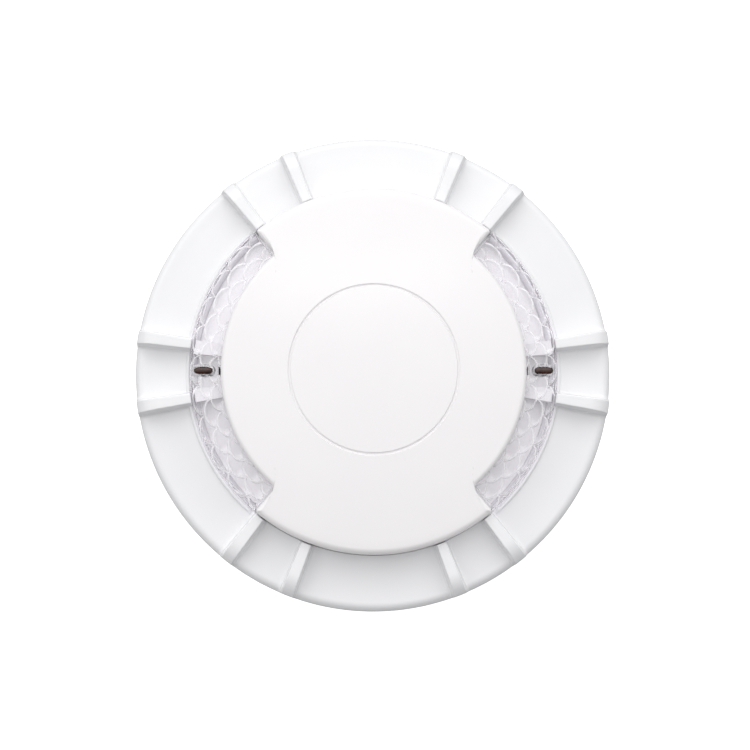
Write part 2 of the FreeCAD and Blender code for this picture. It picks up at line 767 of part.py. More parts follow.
def make_contact_blades():
    body = new_body("contact_blades")
    blade = box_outline(new_sketch(body, turn="blade_angle"), "blade_inner_radius", "blade_outer_radius",
                        "spigot_foot_height - blade_thickness", "spigot_foot_height")
    blades = turned(body, blade, spread="blade_spread")
    patterned(body, [blades])


def make_contact_rivets():
    body = new_body("contact_rivets")
    rivet = circle(new_sketch(body, "XY_Plane", lift="spigot_foot_height", turn="blade_angle"),
                   "rivet_ring_radius", "0", "rivet_radius")
    rivets = extruded(body, rivet, "rear_board_height - spigot_foot_height")
    patterned(body, [rivets])


# ---- head: sounder ---------------------------------------------------------------------------------

def make_sounder_cup():
    body = new_body("sounder_cup")
    wall = outline(new_sketch(body), [
        ("cup_radius - cup_wall", "boss_foot_height"),
        ("cup_radius", "boss_foot_height"),
        ("cup_radius", "boss_foot_height + cup_height"),
        ("cup_radius - cup_wall", "boss_foot_height + cup_height"),
        ("cup_radius - cup_wall", "cup_ledge_height"),
        ("cup_ledge_radius", "cup_ledge_height"),
        ("cup_ledge_radius", "cup_ledge_height - 0.5*cup_wall"),
        ("cup_radius - cup_wall", "cup_ledge_height - 1.5*cup_wall"),
    ])
    turned(body, wall)


def disc_part(label, radius, foot, height, across="0"):
    disc = primitive("Cylinder", label, (across, "0", foot), Radius=radius, Height=height)
    disc.Label = label
    nodes[label] = disc
    return disc


def make_sounder_clamp():
    body = new_body("sounder_clamp_ring")
    section = box_outline(new_sketch(body), "cup_ledge_radius + 0.3", "diaphragm_radius",
                          "cup_ledge_height + diaphragm_thickness",
                          "cup_ledge_height + diaphragm_thickness + clamp_ring_height")
    turned(body, section)


# ---- option switch ---------------------------------------------------------------------------------

def make_switch():
    body = new_body("switch_body")
    block = box_outline(new_sketch(body, "XY_Plane", lift="rear_board_height - switch_height"),
                        "-0.5*switch_length", "0.5*switch_length",
                        "switch_offset - 0.5*switch_width", "switch_offset + 0.5*switch_width")
    extruded(body, block, "switch_height")
    for index, place in enumerate(SLIDER_PLACES):
        well = box_outline(new_sketch(body, "XY_Plane", lift="rear_board_height - switch_height"),
                           f"{place}*switch_pitch - 0.5*slider_width - slider_play",
                           f"{place}*switch_pitch + 0.5*slider_width + slider_play",
                           "switch_offset - 0.5*slider_travel - 0.5*slider_length - slider_play",
                           "switch_offset + 0.5*slider_travel + 0.5*slider_length + slider_play")
        extruded(body, well, "slider_height + slider_play", kind="Pocket", reverse=True)
        label = f"switch_slider_{index + 1}"
        slider = primitive("Box", label, (f"{place}*switch_pitch - 0.5*slider_width",
                                          "switch_offset - 0.5*slider_travel - 0.5*slider_length",
                                          "rear_board_height - switch_height - slider_proud"),
                           Length="slider_width", Width="slider_length",
                           Height="slider_height + slider_proud")
        slider.Label = label
        nodes[label] = slider


# ---- mounting base ---------------------------------------------------------------------------------

def make_mounting_base():
    body = new_body("mounting_base")
    plate = outline(new_sketch(body), [
        ("cable_entry_radius", "0"),
        ("base_radius", "0"),
        ("base_radius", "base_rim_height"),
        ("base_radius - base_rim_wall", "base_rim_height"),
        ("base_radius - base_rim_wall", "base_plate"),
        ("socket_radius + socket_wall", "base_plate"),
        ("socket_radius + socket_wall", "socket_height"),
        ("socket_radius", "socket_height"),
        ("socket_radius", "base_plate"),
        ("cable_entry_radius", "base_plate"),
    ])
    turned(body, plate)
    ledge = box_outline(new_sketch(body, turn="ledge_angle"), "ledge_radius", "socket_radius + cut_margin",
                        "ledge_foot_height", "socket_height")
    ledges = turned(body, ledge, spread="ledge_spread")
    stop = box_outline(new_sketch(body, turn="stop_angle"), "ledge_radius", "socket_radius + cut_margin",
                       "0.5*base_plate", "socket_height")
    stops = turned(body, stop, spread="stop_spread")
    window = box_outline(new_sketch(body, turn="contact_angle"), "socket_radius - cut_margin",
                         "socket_radius + socket_wall + cut_margin", "base_plate", "contact_window_top")
    windows = turned(body, window, kind="Groove", spread="contact_window_spread")
    pad = box_outline(new_sketch(body, turn="contact_angle"),
                      "terminal_radius - 0.5*terminal_pad_length",
                      "terminal_radius + 0.5*terminal_pad_length",
                      "0.5*base_plate", "terminal_pad_height")
    pads = extruded(body, pad, "terminal_pad_width", midplane=True)
    screw = circle(new_sketch(body, "XY_Plane", lift="terminal_pad_height", turn="contact_angle"),
                   "terminal_radius", "0", "terminal_screw_radius + screw_play")
    screws = extruded(body, screw, "terminal_pad_height - 0.5*base_plate", kind="Pocket")
    patterned(body, [ledges, stops, windows, pads, screws])
    middles = new_sketch(body, "XY_Plane", lift="base_plate")
    ends = new_sketch(body, "XY_Plane", lift="base_plate")
    for sign in ("-0.5", "0.5"):
        box_outline(middles, f"{sign}*slot_pitch - 0.5*slot_length + 0.5*slot_width",
                    f"{sign}*slot_pitch + 0.5*slot_length - 0.5*slot_width",
                    "-0.5*slot_width", "0.5*slot_width")
        circle(ends, f"{sign}*slot_pitch - 0.5*slot_length + 0.5*slot_width", "0", "0.5*slot_width")
        circle(ends, f"{sign}*slot_pitch + 0.5*slot_length - 0.5*slot_width", "0", "0.5*slot_width")
    extruded(body, middles, "base_plate", kind="Pocket")
    extruded(body, ends, "base_plate", kind="Pocket")
    holes = new_sketch(body, "XY_Plane", lift="base_plate")
    for sign in ("-0.5", "0.5"):
        circle(holes, "0", f"{sign}*hole_pitch", "hole_radius")
    extruded(body, holes, "base_plate", kind="Pocket")


def make_base_contacts():
    body = new_body("base_contacts")
    strip = outline(new_sketch(body, turn="contact_angle"), [
        ("contact_tip_radius - contact_lead_in", "contact_tip_height - 2*contact_thickness"),
        ("contact_tip_radius", "contact_tip_height - contact_thickness"),
        ("contact_bend_radius", "terminal_pad_height"),
        ("terminal_radius + 0.5*clamp_side", "terminal_pad_height"),
        ("terminal_radius + 0.5*clamp_side", "terminal_pad_height + contact_thickness"),
        ("contact_bend_radius", "terminal_pad_height + contact_thickness"),
        ("contact_tip_radius", "contact_tip_height"),
        ("contact_tip_radius - contact_lead_in", "contact_tip_height - contact_thickness"),
    ])
    strips = extruded(body, strip, "contact_width", midplane=True)
    hole = circle(new_sketch(body, "XY_Plane", lift="terminal_pad_height + contact_thickness",
                             turn="contact_angle"),
                  "terminal_radius", "0", "terminal_screw_radius + screw_play")
    holes = extruded(body, hole, "contact_thickness", kind="Pocket")
    patterned(body, [strips, holes])


def make_terminal_clamps():
    body = new_body("terminal_clamps")
    foot = "terminal_pad_height + contact_thickness"
    plate = box_outline(new_sketch(body, "XY_Plane", lift=foot, turn="contact_angle"),
                        "terminal_radius - 0.5*clamp_side", "terminal_radius + 0.5*clamp_side",
                        "-0.5*clamp_side", "0.5*clamp_side")
    plates = extruded(body, plate, "clamp_thickness")
    hole = circle(new_sketch(body, "XY_Plane", lift=foot, turn="contact_angle"),
                  "terminal_radius", "0", "terminal_screw_radius + screw_play")
    holes = extruded(body, hole, "clamp_thickness", kind="Pocket", reverse=True)
    patterned(body, [plates, holes])


def make_terminal_screws():
    body = new_body("terminal_screws")
    top = "terminal_pad_height + contact_thickness + clamp_thickness"
    shank = circle(new_sketch(body, "XY_Plane", lift="0.5*base_plate", turn="contact_angle"),
                   "terminal_radius", "0", "terminal_screw_radius")
    shanks = extruded(body, shank, f"{top} - 0.5*base_plate + 0.5*terminal_head_height")
    head = circle(new_sketch(body, "XY_Plane", lift=top, turn="contact_angle"),
                  "terminal_radius", "0", "terminal_head_radius")
    heads = extruded(body, head, "terminal_head_height")
    crown = f"{top} + terminal_head_height"
    slot = box_outline(new_sketch(body, "XY_Plane", lift=crown, turn="contact_angle"),
                       "terminal_radius - 2*terminal_head_radius", "terminal_radius + 2*terminal_head_radius",
                       "-0.5*terminal_slot_width", "0.5*terminal_slot_width")
    slots = extruded(body, slot, "0.5*terminal_head_height", kind="Pocket")
    patterned(body, [shanks, heads, slots])


make_skirt()
make_front_cover()
for name, facing in (("right", "0"), ("left", "180")):
    make_lens(f"lens_{name}", facing)
    make_light_tray(f"light_tray_{name}", facing)
make_beacon_leds()
make_thermistors()
make_front_board()
make_rear_board()
board_top = "rear_board_height + board_thickness"
link_height = "front_board_height - rear_board_height - board_thickness"
box_part("board_link", ("0", "link_offset"), ("link_length", "link_width", link_height), board_top)
box_part("microcontroller", ("0", "0"), ("chip_side", "chip_side", "chip_height"), board_top)
make_capacitors()
disc_part("sounder_coil", "coil_radius", board_top, "coil_height", across="0 - coil_offset")
make_rear_housing()
make_housing_screws()
make_seal_ring()
make_contact_blades()
make_contact_rivets()
make_sounder_cup()
disc_part("sounder_diaphragm", "diaphragm_radius", "cup_ledge_height", "diaphragm_thickness")
disc_part("sounder_ceramic", "ceramic_radius", "cup_ledge_height - ceramic_thickness", "ceramic_thickness")
make_sounder_clamp()
make_switch()
make_mounting_base()
make_base_contacts()
make_terminal_clamps()
make_terminal_screws()


# ---- checks and files ------------------------------------------------------------------------------

doc.recompute()
for thing in doc.Objects:
    if "Invalid" in thing.State or "Error" in thing.State:
        raise RuntimeError(f"{thing.Name}: {thing.State}")
for label, piece in nodes.items():
    if piece.Shape.isNull() or not piece.Shape.isValid():
        raise RuntimeError(f"{label} is not a valid shape")
    if not piece.Shape.Solids:
        raise RuntimeError(f"{label} has no solid")

os.makedirs("parts", exist_ok=True)
for label, piece in nodes.items():
    piece.Shape.exportStep(f"parts/{label}.step")
    print(label, len(piece.Shape.Solids), round(piece.Shape.Volume, 1))
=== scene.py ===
"""The looks of a ceiling heat detector with a sounder and beacon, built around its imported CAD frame.

The detector lies on its back on a pale floor and is seen from its face. Lengths below are in millimetres
until MM turns them into metres. Angles are in degrees from +X, anticlockwise as seen from the face.
"""
import math

import bmesh
import bpy
import numpy as np
from mathutils import Matrix, Vector


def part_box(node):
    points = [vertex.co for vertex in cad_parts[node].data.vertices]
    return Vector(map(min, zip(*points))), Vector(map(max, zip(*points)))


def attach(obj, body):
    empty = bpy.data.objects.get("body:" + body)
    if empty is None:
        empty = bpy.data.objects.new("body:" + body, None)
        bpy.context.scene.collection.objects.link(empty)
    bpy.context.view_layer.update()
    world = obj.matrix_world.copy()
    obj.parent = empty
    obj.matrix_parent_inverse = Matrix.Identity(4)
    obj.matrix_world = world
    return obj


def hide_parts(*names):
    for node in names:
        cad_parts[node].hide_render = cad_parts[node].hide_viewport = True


MM = 0.001
SIDES = {"right": 0.0, "left": 180.0}
chance = np.random.default_rng(11)
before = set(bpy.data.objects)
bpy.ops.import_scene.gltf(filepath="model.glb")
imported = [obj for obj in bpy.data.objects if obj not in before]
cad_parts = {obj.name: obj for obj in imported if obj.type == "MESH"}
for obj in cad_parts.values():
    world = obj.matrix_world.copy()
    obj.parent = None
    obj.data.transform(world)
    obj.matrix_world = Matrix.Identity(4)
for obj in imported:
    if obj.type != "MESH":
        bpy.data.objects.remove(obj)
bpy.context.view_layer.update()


def cad(node):
    """The lowest and highest corner of a CAD node, in millimetres."""
    low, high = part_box(node)
    return np.array(low) / MM, np.array(high) / MM


# ---- driving dimensions, from the frame --------------------------------------------------------------

SKIRT_LOW, SKIRT_HIGH = cad("skirt")
COVER_LOW, COVER_HIGH = cad("front_cover")
LENS_LOW, LENS_HIGH = cad("lens_right")

SKIRT_RADIUS = (SKIRT_HIGH[0] - SKIRT_LOW[0]) / 2
SKIRT_FOOT = SKIRT_LOW[2]
RIB_ROOT_HEIGHT = SKIRT_HIGH[2]
COVER_RADIUS = COVER_HIGH[1]
COVER_FOOT = COVER_LOW[2]
CROWN = COVER_HIGH[2]
LENS_RADIUS = LENS_HIGH[0]
LENS_FOOT = LENS_LOW[2]
LENS_TOP = LENS_HIGH[2]

WALL = 2.2
RIB_ANGLES = sorted(a % 360 for low in (8.5, 52.0, 68.7) for a in (low, 180 - low, 180 + low, -low))
NOTCH_HALF_ANGLE = 50.0
NOTCH_RADIUS = COVER_RADIUS - 11.0

LOOSE_CREASE = 38.0
SKIRT_CREASE = 32.0
COVER_CREASE = 40.0
LENS_CREASE = 42.0
TRAY_CREASE = 40.0
BEAD_CREASE = 50.0


# ---- mesh helpers ------------------------------------------------------------------------------------

def new_object(name, points, faces):
    """A mesh object from points in millimetres."""
    mesh = bpy.data.meshes.new(name)
    mesh.from_pydata((np.asarray(points) * MM).tolist(), [], faces)
    mesh.update()
    made = bpy.data.objects.new(name, mesh)
    bpy.context.collection.objects.link(made)
    return made


def piece_from(name, points, faces, material, nodes, crease):
    """A visual piece that rides on the head and stands for CAD nodes."""
    piece = new_object(name, points, faces)
    tidy_normals(piece, crease)
    enter(piece, material, nodes)
    return piece


def enter(piece, material, nodes):
    """Gives a finished mesh its material, its body and the CAD nodes that it stands for."""
    piece.data.materials.append(material)
    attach(piece, "head")
    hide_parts(*nodes)


def tidy_normals(piece, crease):
    """Points every face outwards, then shades smooth except across edges sharper than the crease angle."""
    work = bmesh.new()
    work.from_mesh(piece.data)
    bmesh.ops.recalc_face_normals(work, faces=work.faces)
    work.to_mesh(piece.data)
    work.free()
    piece.data.polygons.foreach_set("use_smooth", [True] * len(piece.data.polygons))
    piece.data.set_sharp_from_angle(angle=math.radians(crease))


def grid_faces(rows, columns, wrap_rows=False, wrap_columns=False):
    """Quads between neighbouring points of a grid whose points are numbered row by row."""
    row = np.arange(rows if wrap_rows else rows - 1)[:, None]
    column = np.arange(columns if wrap_columns else columns - 1)[None, :]
    next_row = (row + 1) % rows
    next_column = (column + 1) % columns
    corners = (row * columns + column, next_row * columns + column,
               next_row * columns + next_column, row * columns + next_column)
    return np.stack([c.ravel() for c in np.broadcast_arrays(*corners)], axis=1).tolist()


def end_caps(first, count):
    """Two faces that close a tube: over its first ring, and over the ring that starts at point first."""
    return [list(range(count)), [first + i for i in reversed(range(count))]]


def polar(radius, angle, height):
    """Points from cylinder coordinates, angle in degrees."""
    turn = np.radians(angle)
    return np.stack(np.broadcast_arrays(radius * np.cos(turn), radius * np.sin(turn), height), axis=-1)


def smooth_step(low, high, x):
    """0 below low and 1 above high, with an even ease between them."""
    t = np.clip((x - low) / (high - low), 0, 1)
    return t * t * (3 - 2 * t)


def unit(turn):
    """Unit vectors that point at angles in radians."""
    return np.stack([np.cos(turn), np.sin(turn)], axis=-1)


def direction(angle):
    """The unit vector that points at an angle."""
    return unit(math.radians(angle))


def combine(piece, others, operation, crease):
    """Joins closed meshes to a piece or cuts them out of it."""
    for other in others:
        change = piece.modifiers.new("combine", "BOOLEAN")
        change.operation = operation
        change.solver = "MANIFOLD"
        change.object = other
    graph = bpy.context.evaluated_depsgraph_get()
    result = bpy.data.meshes.new_from_object(piece.evaluated_get(graph))
    piece.modifiers.clear()
    piece.data = result
    piece.data.set_sharp_from_angle(angle=math.radians(crease))
    for other in others:
        bpy.data.objects.remove(other)


def loose_solid(name, points, faces):
    """A closed mesh that is only joined to a piece or cut out of it."""
    solid = new_object(name, points, faces)
    tidy_normals(solid, LOOSE_CREASE)
    return solid


def closed_sweep(name, section, angles):
    """A loose closed solid: an outline of (radius, height) points swept through a run of angles."""
    outline = np.asarray(section, float)
    points = polar(outline[None, :, 0], np.asarray(angles)[:, None], outline[None, :, 1])
    rows, columns = points.shape[:2]
    faces = grid_faces(rows, columns, wrap_columns=True)
    return loose_solid(name, points.reshape(-1, 3), faces + end_caps((rows - 1) * columns, columns))


def upright_prism(name, outline, low, high):
    """A loose closed solid: a flat outline raised from one height to another."""
    count = len(outline)
    points = np.concatenate([np.column_stack([outline, np.full(count, z)]) for z in (low, high)])
    return loose_solid(name, points, grid_faces(2, count, wrap_columns=True) + end_caps(count, count))


# ---- material helpers --------------------------------------------------------------------------------

def new_material(name):
    material = bpy.data.materials.new(name)
    material.use_nodes = True
    tree = material.node_tree
    return material, tree, tree.nodes["Principled BSDF"]


def node(tree, kind, **inputs):
    made = tree.nodes.new(kind)
    for key, value in inputs.items():
        made.inputs[key.replace("_", " ")].default_value = value
    return made


def noise(tree, size_mm, detail=3.0, stretch=(1, 1, 1)):
    """Noise whose blotches are about size_mm across, in object space."""
    place = node(tree, "ShaderNodeTexCoord")
    scale = node(tree, "ShaderNodeMapping", Scale=stretch)
    texture = node(tree, "ShaderNodeTexNoise", Scale=1 / (size_mm * MM), Detail=detail)
    tree.links.new(place.outputs["Object"], scale.inputs["Vector"])
    tree.links.new(scale.outputs["Vector"], texture.inputs["Vector"])
    return texture.outputs["Fac"]


def spread(tree, source, low, high, source_low=0.3, source_high=0.7, smooth=False):
    """Maps a value from one range onto another."""
    mapped = node(tree, "ShaderNodeMapRange", From_Min=source_low, From_Max=source_high,
                  To_Min=low, To_Max=high)
    mapped.interpolation_type = "SMOOTHSTEP" if smooth else "LINEAR"
    tree.links.new(source, mapped.inputs["Value"])
    return mapped.outputs["Result"]


def arithmetic(tree, operation, first, second=0.0):
    """One sum on values; either one may be a number or another node's output."""
    made = tree.nodes.new("ShaderNodeMath")
    made.operation = operation
    for socket, value in zip(made.inputs, (first, second)):
        if isinstance(value, (int, float)):
            socket.default_value = value
        else:
            tree.links.new(value, socket)
    return made.outputs["Value"]


def tint(tree, source, first, second):
    """A colour that wanders between two near shades."""
    ramp = tree.nodes.new("ShaderNodeValToRGB")
    ramp.color_ramp.elements[0].position = 0.3
    ramp.color_ramp.elements[0].color = (*first, 1)
    ramp.color_ramp.elements[1].position = 0.7
    ramp.color_ramp.elements[1].color = (*second, 1)
    tree.links.new(source, ramp.inputs["Fac"])
    return ramp.outputs["Color"]


def bump(tree, shader, source, depth_mm, strength=1.0):
    made = node(tree, "ShaderNodeBump", Strength=strength, Distance=depth_mm * MM)
    tree.links.new(source, made.inputs["Height"])
    tree.links.new(made.outputs["Normal"], shader.inputs["Normal"])


def plastic(name, first, second, roughness, grain_mm=1.3, grain_depth=0.004, blotch_mm=18.0, gloss=0.5):
    """Moulded plastic: faint shade drift, uneven polish and a fine mould grain."""
    material, tree, shader = new_material(name)
    tree.links.new(tint(tree, noise(tree, blotch_mm), first, second), shader.inputs["Base Color"])
    polish = noise(tree, blotch_mm / 4, detail=5.0)
    tree.links.new(spread(tree, polish, *roughness), shader.inputs["Roughness"])
    shader.inputs["Specular IOR Level"].default_value = gloss
    bump(tree, shader, noise(tree, grain_mm, detail=1.0), grain_depth)
    return material


def metal(name, first, second, roughness, stretch=(1, 1, 1), grain_mm=0.2, depth_mm=0.004):
    """Metal with a drifting shade and a grain that may be drawn out in one direction."""
    material, tree, shader = new_material(name)
    shader.inputs["Metallic"].default_value = 1.0
    tree.links.new(tint(tree, noise(tree, 4.0), first, second), shader.inputs["Base Color"])
    grain = noise(tree, grain_mm, detail=4.0, stretch=stretch)
    tree.links.new(spread(tree, grain, *roughness), shader.inputs["Roughness"])
    bump(tree, shader, grain, depth_mm)
    return material


def clear_plastic():
    """Clear polycarbonate with a slight lilac cast, with a white diffuse mixed in along the free edges of its
    scales as a painted highlight for the glints there.

    Light on its way to the reflector inside passes straight through, which keeps the inside evenly lit.
    """
    material, tree, shader = new_material("clear polycarbonate")
    shader.inputs["Transmission Weight"].default_value = LENS_CLEARNESS
    shader.inputs["IOR"].default_value = 1.58
    tree.links.new(tint(tree, noise(tree, 9.0), (0.965, 0.95, 0.985), (0.985, 0.975, 0.995)),
                   shader.inputs["Base Color"])
    tree.links.new(spread(tree, noise(tree, 2.5, detail=4.0), 0.03, 0.09), shader.inputs["Roughness"])
    bump(tree, shader, noise(tree, 1.6), 0.004)
    # Painted highlight: a white diffuse that stands in for the glints along the scales' free edges.
    painted_edge_glint = node(tree, "ShaderNodeBsdfDiffuse", Color=(0.95, 0.945, 0.96, 1))
    edge = tree.nodes.new("ShaderNodeAttribute")
    edge.attribute_name = "painted_edge_glint"
    with_painted_glint = tree.nodes.new("ShaderNodeMixShader")
    tree.links.new(arithmetic(tree, "MULTIPLY", edge.outputs["Fac"], LENS_PAINTED_GLINT), with_painted_glint.inputs["Fac"])
    tree.links.new(shader.outputs["BSDF"], with_painted_glint.inputs[1])
    tree.links.new(painted_edge_glint.outputs["BSDF"], with_painted_glint.inputs[2])
    ray = tree.nodes.new("ShaderNodeLightPath")
    passing = arithmetic(tree, "MAXIMUM", ray.outputs["Is Shadow Ray"], ray.outputs["Is Diffuse Ray"])
    trapped = arithmetic(tree, "GREATER_THAN", ray.outputs["Ray Depth"], LENS_BOUNCES + 0.5)
    passing = arithmetic(tree, "MAXIMUM", passing, trapped)
    through = node(tree, "ShaderNodeBsdfTransparent", Color=(0.985, 0.975, 0.99, 1))
    mixed = tree.nodes.new("ShaderNodeMixShader")
    tree.links.new(passing, mixed.inputs["Fac"])
    tree.links.new(with_painted_glint.outputs["Shader"], mixed.inputs[1])
    tree.links.new(through.outputs["BSDF"], mixed.inputs[2])
    tree.links.new(mixed.outputs["Shader"], tree.nodes["Material Output"].inputs["Surface"])
    return material


def bead_resin():
    """Dark red-brown dipped resin."""
    material, tree, shader = new_material("bead resin")
    tree.links.new(tint(tree, noise(tree, 1.2), (0.012, 0.006, 0.005), (0.05, 0.014, 0.008)),
                   shader.inputs["Base Color"])
    tree.links.new(spread(tree, noise(tree, 0.8, detail=4.0), 0.12, 0.3), shader.inputs["Roughness"])
    bump(tree, shader, noise(tree, 0.9), 0.03)
    return material


def beacon_chip():
    """The pale yellow face of a beacon light source."""
    material, tree, shader = new_material("beacon chip")
    shade = tint(tree, noise(tree, 1.5), (0.78, 0.74, 0.6), (0.86, 0.84, 0.78))
    tree.links.new(shade, shader.inputs["Base Color"])
    tree.links.new(spread(tree, noise(tree, 0.5), 0.35, 0.5), shader.inputs["Roughness"])
    bump(tree, shader, noise(tree, 0.3), 0.01)
    return material


LENS_CLEARNESS = 0.96
# How much painted highlight the scales' free edges carry.
LENS_PAINTED_GLINT = 0.55
LENS_BOUNCES = 3

white_cover = plastic("white cover", (0.828, 0.811, 0.822), (0.838, 0.824, 0.832), (0.17, 0.24))
white_skirt = plastic("white skirt", (0.798, 0.8, 0.816), (0.81, 0.81, 0.824), (0.2, 0.26))
white_tray = plastic("white tray", (0.87, 0.86, 0.885), (0.89, 0.88, 0.9), (0.3, 0.42))
white_base = plastic("white base", (0.79, 0.78, 0.765), (0.82, 0.81, 0.795), (0.38, 0.5), grain_mm=1.0,
                     grain_depth=0.02)
white_rear = plastic("white rear housing", (0.77, 0.765, 0.75), (0.8, 0.795, 0.78), (0.35, 0.48),
                     grain_mm=1.0, grain_depth=0.02)
lens_clear = clear_plastic()
# The front board is black solder mask; the black is also painted shade seen through the openings in the trays
# above it.
board_black_with_painted_shade = plastic("black solder mask and painted shade", (0.012, 0.013, 0.013), (0.022, 0.022, 0.023), (0.3, 0.4))
board_green = plastic("green solder mask", (0.012, 0.09, 0.035), (0.02, 0.13, 0.05), (0.3, 0.4),
                      grain_mm=0.8, blotch_mm=6.0)
black_plastic = plastic("black plastic", (0.012, 0.012, 0.013), (0.02, 0.02, 0.022), (0.35, 0.5))
rubber = plastic("seal rubber", (0.018, 0.018, 0.019), (0.03, 0.03, 0.031), (0.6, 0.75), grain_depth=0.01)
blue_plastic = plastic("blue switch", (0.012, 0.06, 0.3), (0.016, 0.08, 0.36), (0.3, 0.42), blotch_mm=5.0)
white_slider = plastic("white slider", (0.78, 0.78, 0.76), (0.82, 0.82, 0.8), (0.3, 0.4), blotch_mm=2.0)
ceramic = plastic("piezo ceramic", (0.55, 0.53, 0.47), (0.62, 0.6, 0.54), (0.5, 0.65), blotch_mm=3.0)
steel = metal("zinc plated steel", (0.6, 0.6, 0.62), (0.72, 0.72, 0.74), (0.29, 0.38))
spring_steel = metal("spring steel", (0.62, 0.6, 0.56), (0.72, 0.7, 0.65), (0.17, 0.25), stretch=(1, 6, 1))
brass = metal("brass", (0.72, 0.53, 0.24), (0.8, 0.61, 0.3), (0.29, 0.38))
tinned_wire = metal("tinned wire", (0.72, 0.72, 0.73), (0.82, 0.82, 0.83), (0.29, 0.38), stretch=(1, 1, 0.2))
aluminium = metal("aluminium can", (0.7, 0.7, 0.71), (0.8, 0.8, 0.81), (0.29, 0.42), stretch=(1, 1, 5))

CAD_MATERIALS = {
    "sounder_cup": white_tray, "sounder_clamp_ring": white_tray, "beacon_leds": beacon_chip(),
    "thermistor_leads": tinned_wire, "front_board": board_black_with_painted_shade, "rear_board": board_green,
    "board_link": black_plastic, "microcontroller": black_plastic, "sounder_coil": black_plastic,
    "capacitors": aluminium, "rear_housing": white_rear, "housing_screws": steel, "seal_ring": rubber,
    "contact_blades": spring_steel, "contact_rivets": spring_steel, "sounder_diaphragm": brass,
    "sounder_ceramic": ceramic, "switch_body": blue_plastic, "mounting_base": white_base,
    "base_contacts": spring_steel, "terminal_clamps": steel, "terminal_screws": steel,
    **{f"switch_slider_{number}": white_slider for number in range(1, 5)},
}


# ---- skirt -------------------------------------------------------------------------------------------

RIM_ROLL = 3.2
RIM_HEIGHT = SKIRT_FOOT + 26.0
FLOOR_FLAT = SKIRT_RADIUS - RIM_ROLL
FLOOR_FLAT_HEIGHT = RIM_HEIGHT + RIM_ROLL
FLOOR_RISE = 2.6
FLOOR_SAG = 0.56
WELL_RADIUS = COVER_RADIUS + 0.15
COLLAR_BORE = COVER_RADIUS - 2.6
COLLAR_FOOT = SKIRT_FOOT + 17.0
WELL_EDGE = 0.15
RIB_ROOT = WELL_RADIUS + 0.2
RIB_KNEE = SKIRT_RADIUS - 9.0
RIB_KNEE_DROP = 0.6
RIB_TIP_DROP = 6.1
RIB_TIP_CURVE = 0.93
RIB_TOP_HALF = 1.5
RIB_FOOT_HALF = 2.1
RIB_FILLET = 0.9
RIB_FILLET_SPREAD = 0.9
RIB_EDGE = 0.35
LIP_RADIUS = WELL_RADIUS + 1.0
LIP_HALF_WIDTH = 0.7
LIP_HEIGHT = 0.8
FOOT_INSET = 0.6


def floor_height(radius):
    """The scooped floor: a shallow concave sweep, then the rolled rim."""
    along = np.clip((radius - WELL_RADIUS) / (FLOOR_FLAT - WELL_RADIUS), 0, 1)
    sweep = FLOOR_FLAT_HEIGHT + FLOOR_RISE * (1 - along) - 4 * FLOOR_SAG * along * (1 - along)
    beyond = np.clip(radius - FLOOR_FLAT, 0, RIM_ROLL)
    return sweep - RIM_ROLL + np.sqrt(RIM_ROLL ** 2 - beyond ** 2)


def rib_height(radius):
    """The rib's crest: nearly level to its knee, then rounded down towards the rim."""
    level = RIB_KNEE_DROP * np.clip((radius - RIB_ROOT) / (RIB_KNEE - RIB_ROOT), 0, 1)
    beyond = np.clip((radius - RIB_KNEE) / (SKIRT_RADIUS - RIB_KNEE), 0, 1)
    fall = (RIB_TIP_DROP - RIB_KNEE_DROP) * (1 - np.sqrt(1 - RIB_TIP_CURVE * beyond ** 2))
    fall = fall / (1 - math.sqrt(1 - RIB_TIP_CURVE))
    return RIB_ROOT_HEIGHT - level - fall


def rib_shape(away, tall, radius):
    """How far the rib stands over the floor, away degrees from its middle line."""
    fillet = np.minimum(RIB_FILLET, 0.5 * tall)
    inside = (RIB_TOP_HALF - away) * np.radians(1) * radius
    from_centre = RIB_EDGE - np.minimum(inside, RIB_EDGE)
    rounding = RIB_EDGE - np.sqrt(np.clip(RIB_EDGE ** 2 - from_centre ** 2, 0, None))
    side = np.clip((away - RIB_TOP_HALF) / (RIB_FOOT_HALF - RIB_TOP_HALF), 0, 1)
    beyond = np.clip((away - RIB_FOOT_HALF) / RIB_FILLET_SPREAD, 0, 1)
    foot = fillet * (1 - np.sqrt(1 - (1 - beyond) ** 2))
    wall = (tall - RIB_EDGE) * (1 - side) + fillet * side
    return np.where(away < RIB_TOP_HALF, tall - rounding, np.where(away < RIB_FOOT_HALF, wall, foot))


def skirt_angles():
    """Angles round the skirt, packed closely across each rib's sides and feet."""
    edge = [RIB_TOP_HALF - back for back in (0.27, 0.2, 0.13, 0.08, 0.04, 0.015)]
    fillet = [RIB_FOOT_HALF + RIB_FILLET_SPREAD * part
              for part in (0.02, 0.06, 0.13, 0.22, 0.34, 0.5, 0.7, 1.0)]
    across = [0, 0.5, 0.9, *edge, RIB_TOP_HALF, 1.6, 1.85, RIB_FOOT_HALF, *fillet]
    near = {round((rib + side * away) % 360, 4) for rib in RIB_ANGLES for away in across for side in (-1, 1)}
    clear = [a for a in np.arange(0, 360, 0.8)
             if min(abs((a - rib + 180) % 360 - 180) for rib in RIB_ANGLES) > across[-1] + 0.3]
    return np.array(sorted(near | {round(float(a), 4) for a in clear}))


def lens_lip(angles, radii):
    """A low raised bead on the floor, just outside each lens."""
    from_lens = np.minimum(np.abs((angles + 180) % 360 - 180), np.abs(angles - 180))
    beside = 1 - smooth_step(NOTCH_HALF_ANGLE - 2.0, NOTCH_HALF_ANGLE - 0.5, from_lens)
    across = np.clip(1 - ((radii - LIP_RADIUS) / LIP_HALF_WIDTH) ** 2, 0, 1)
    return LIP_HEIGHT * beside[:, None] * np.sqrt(across)[None, :]


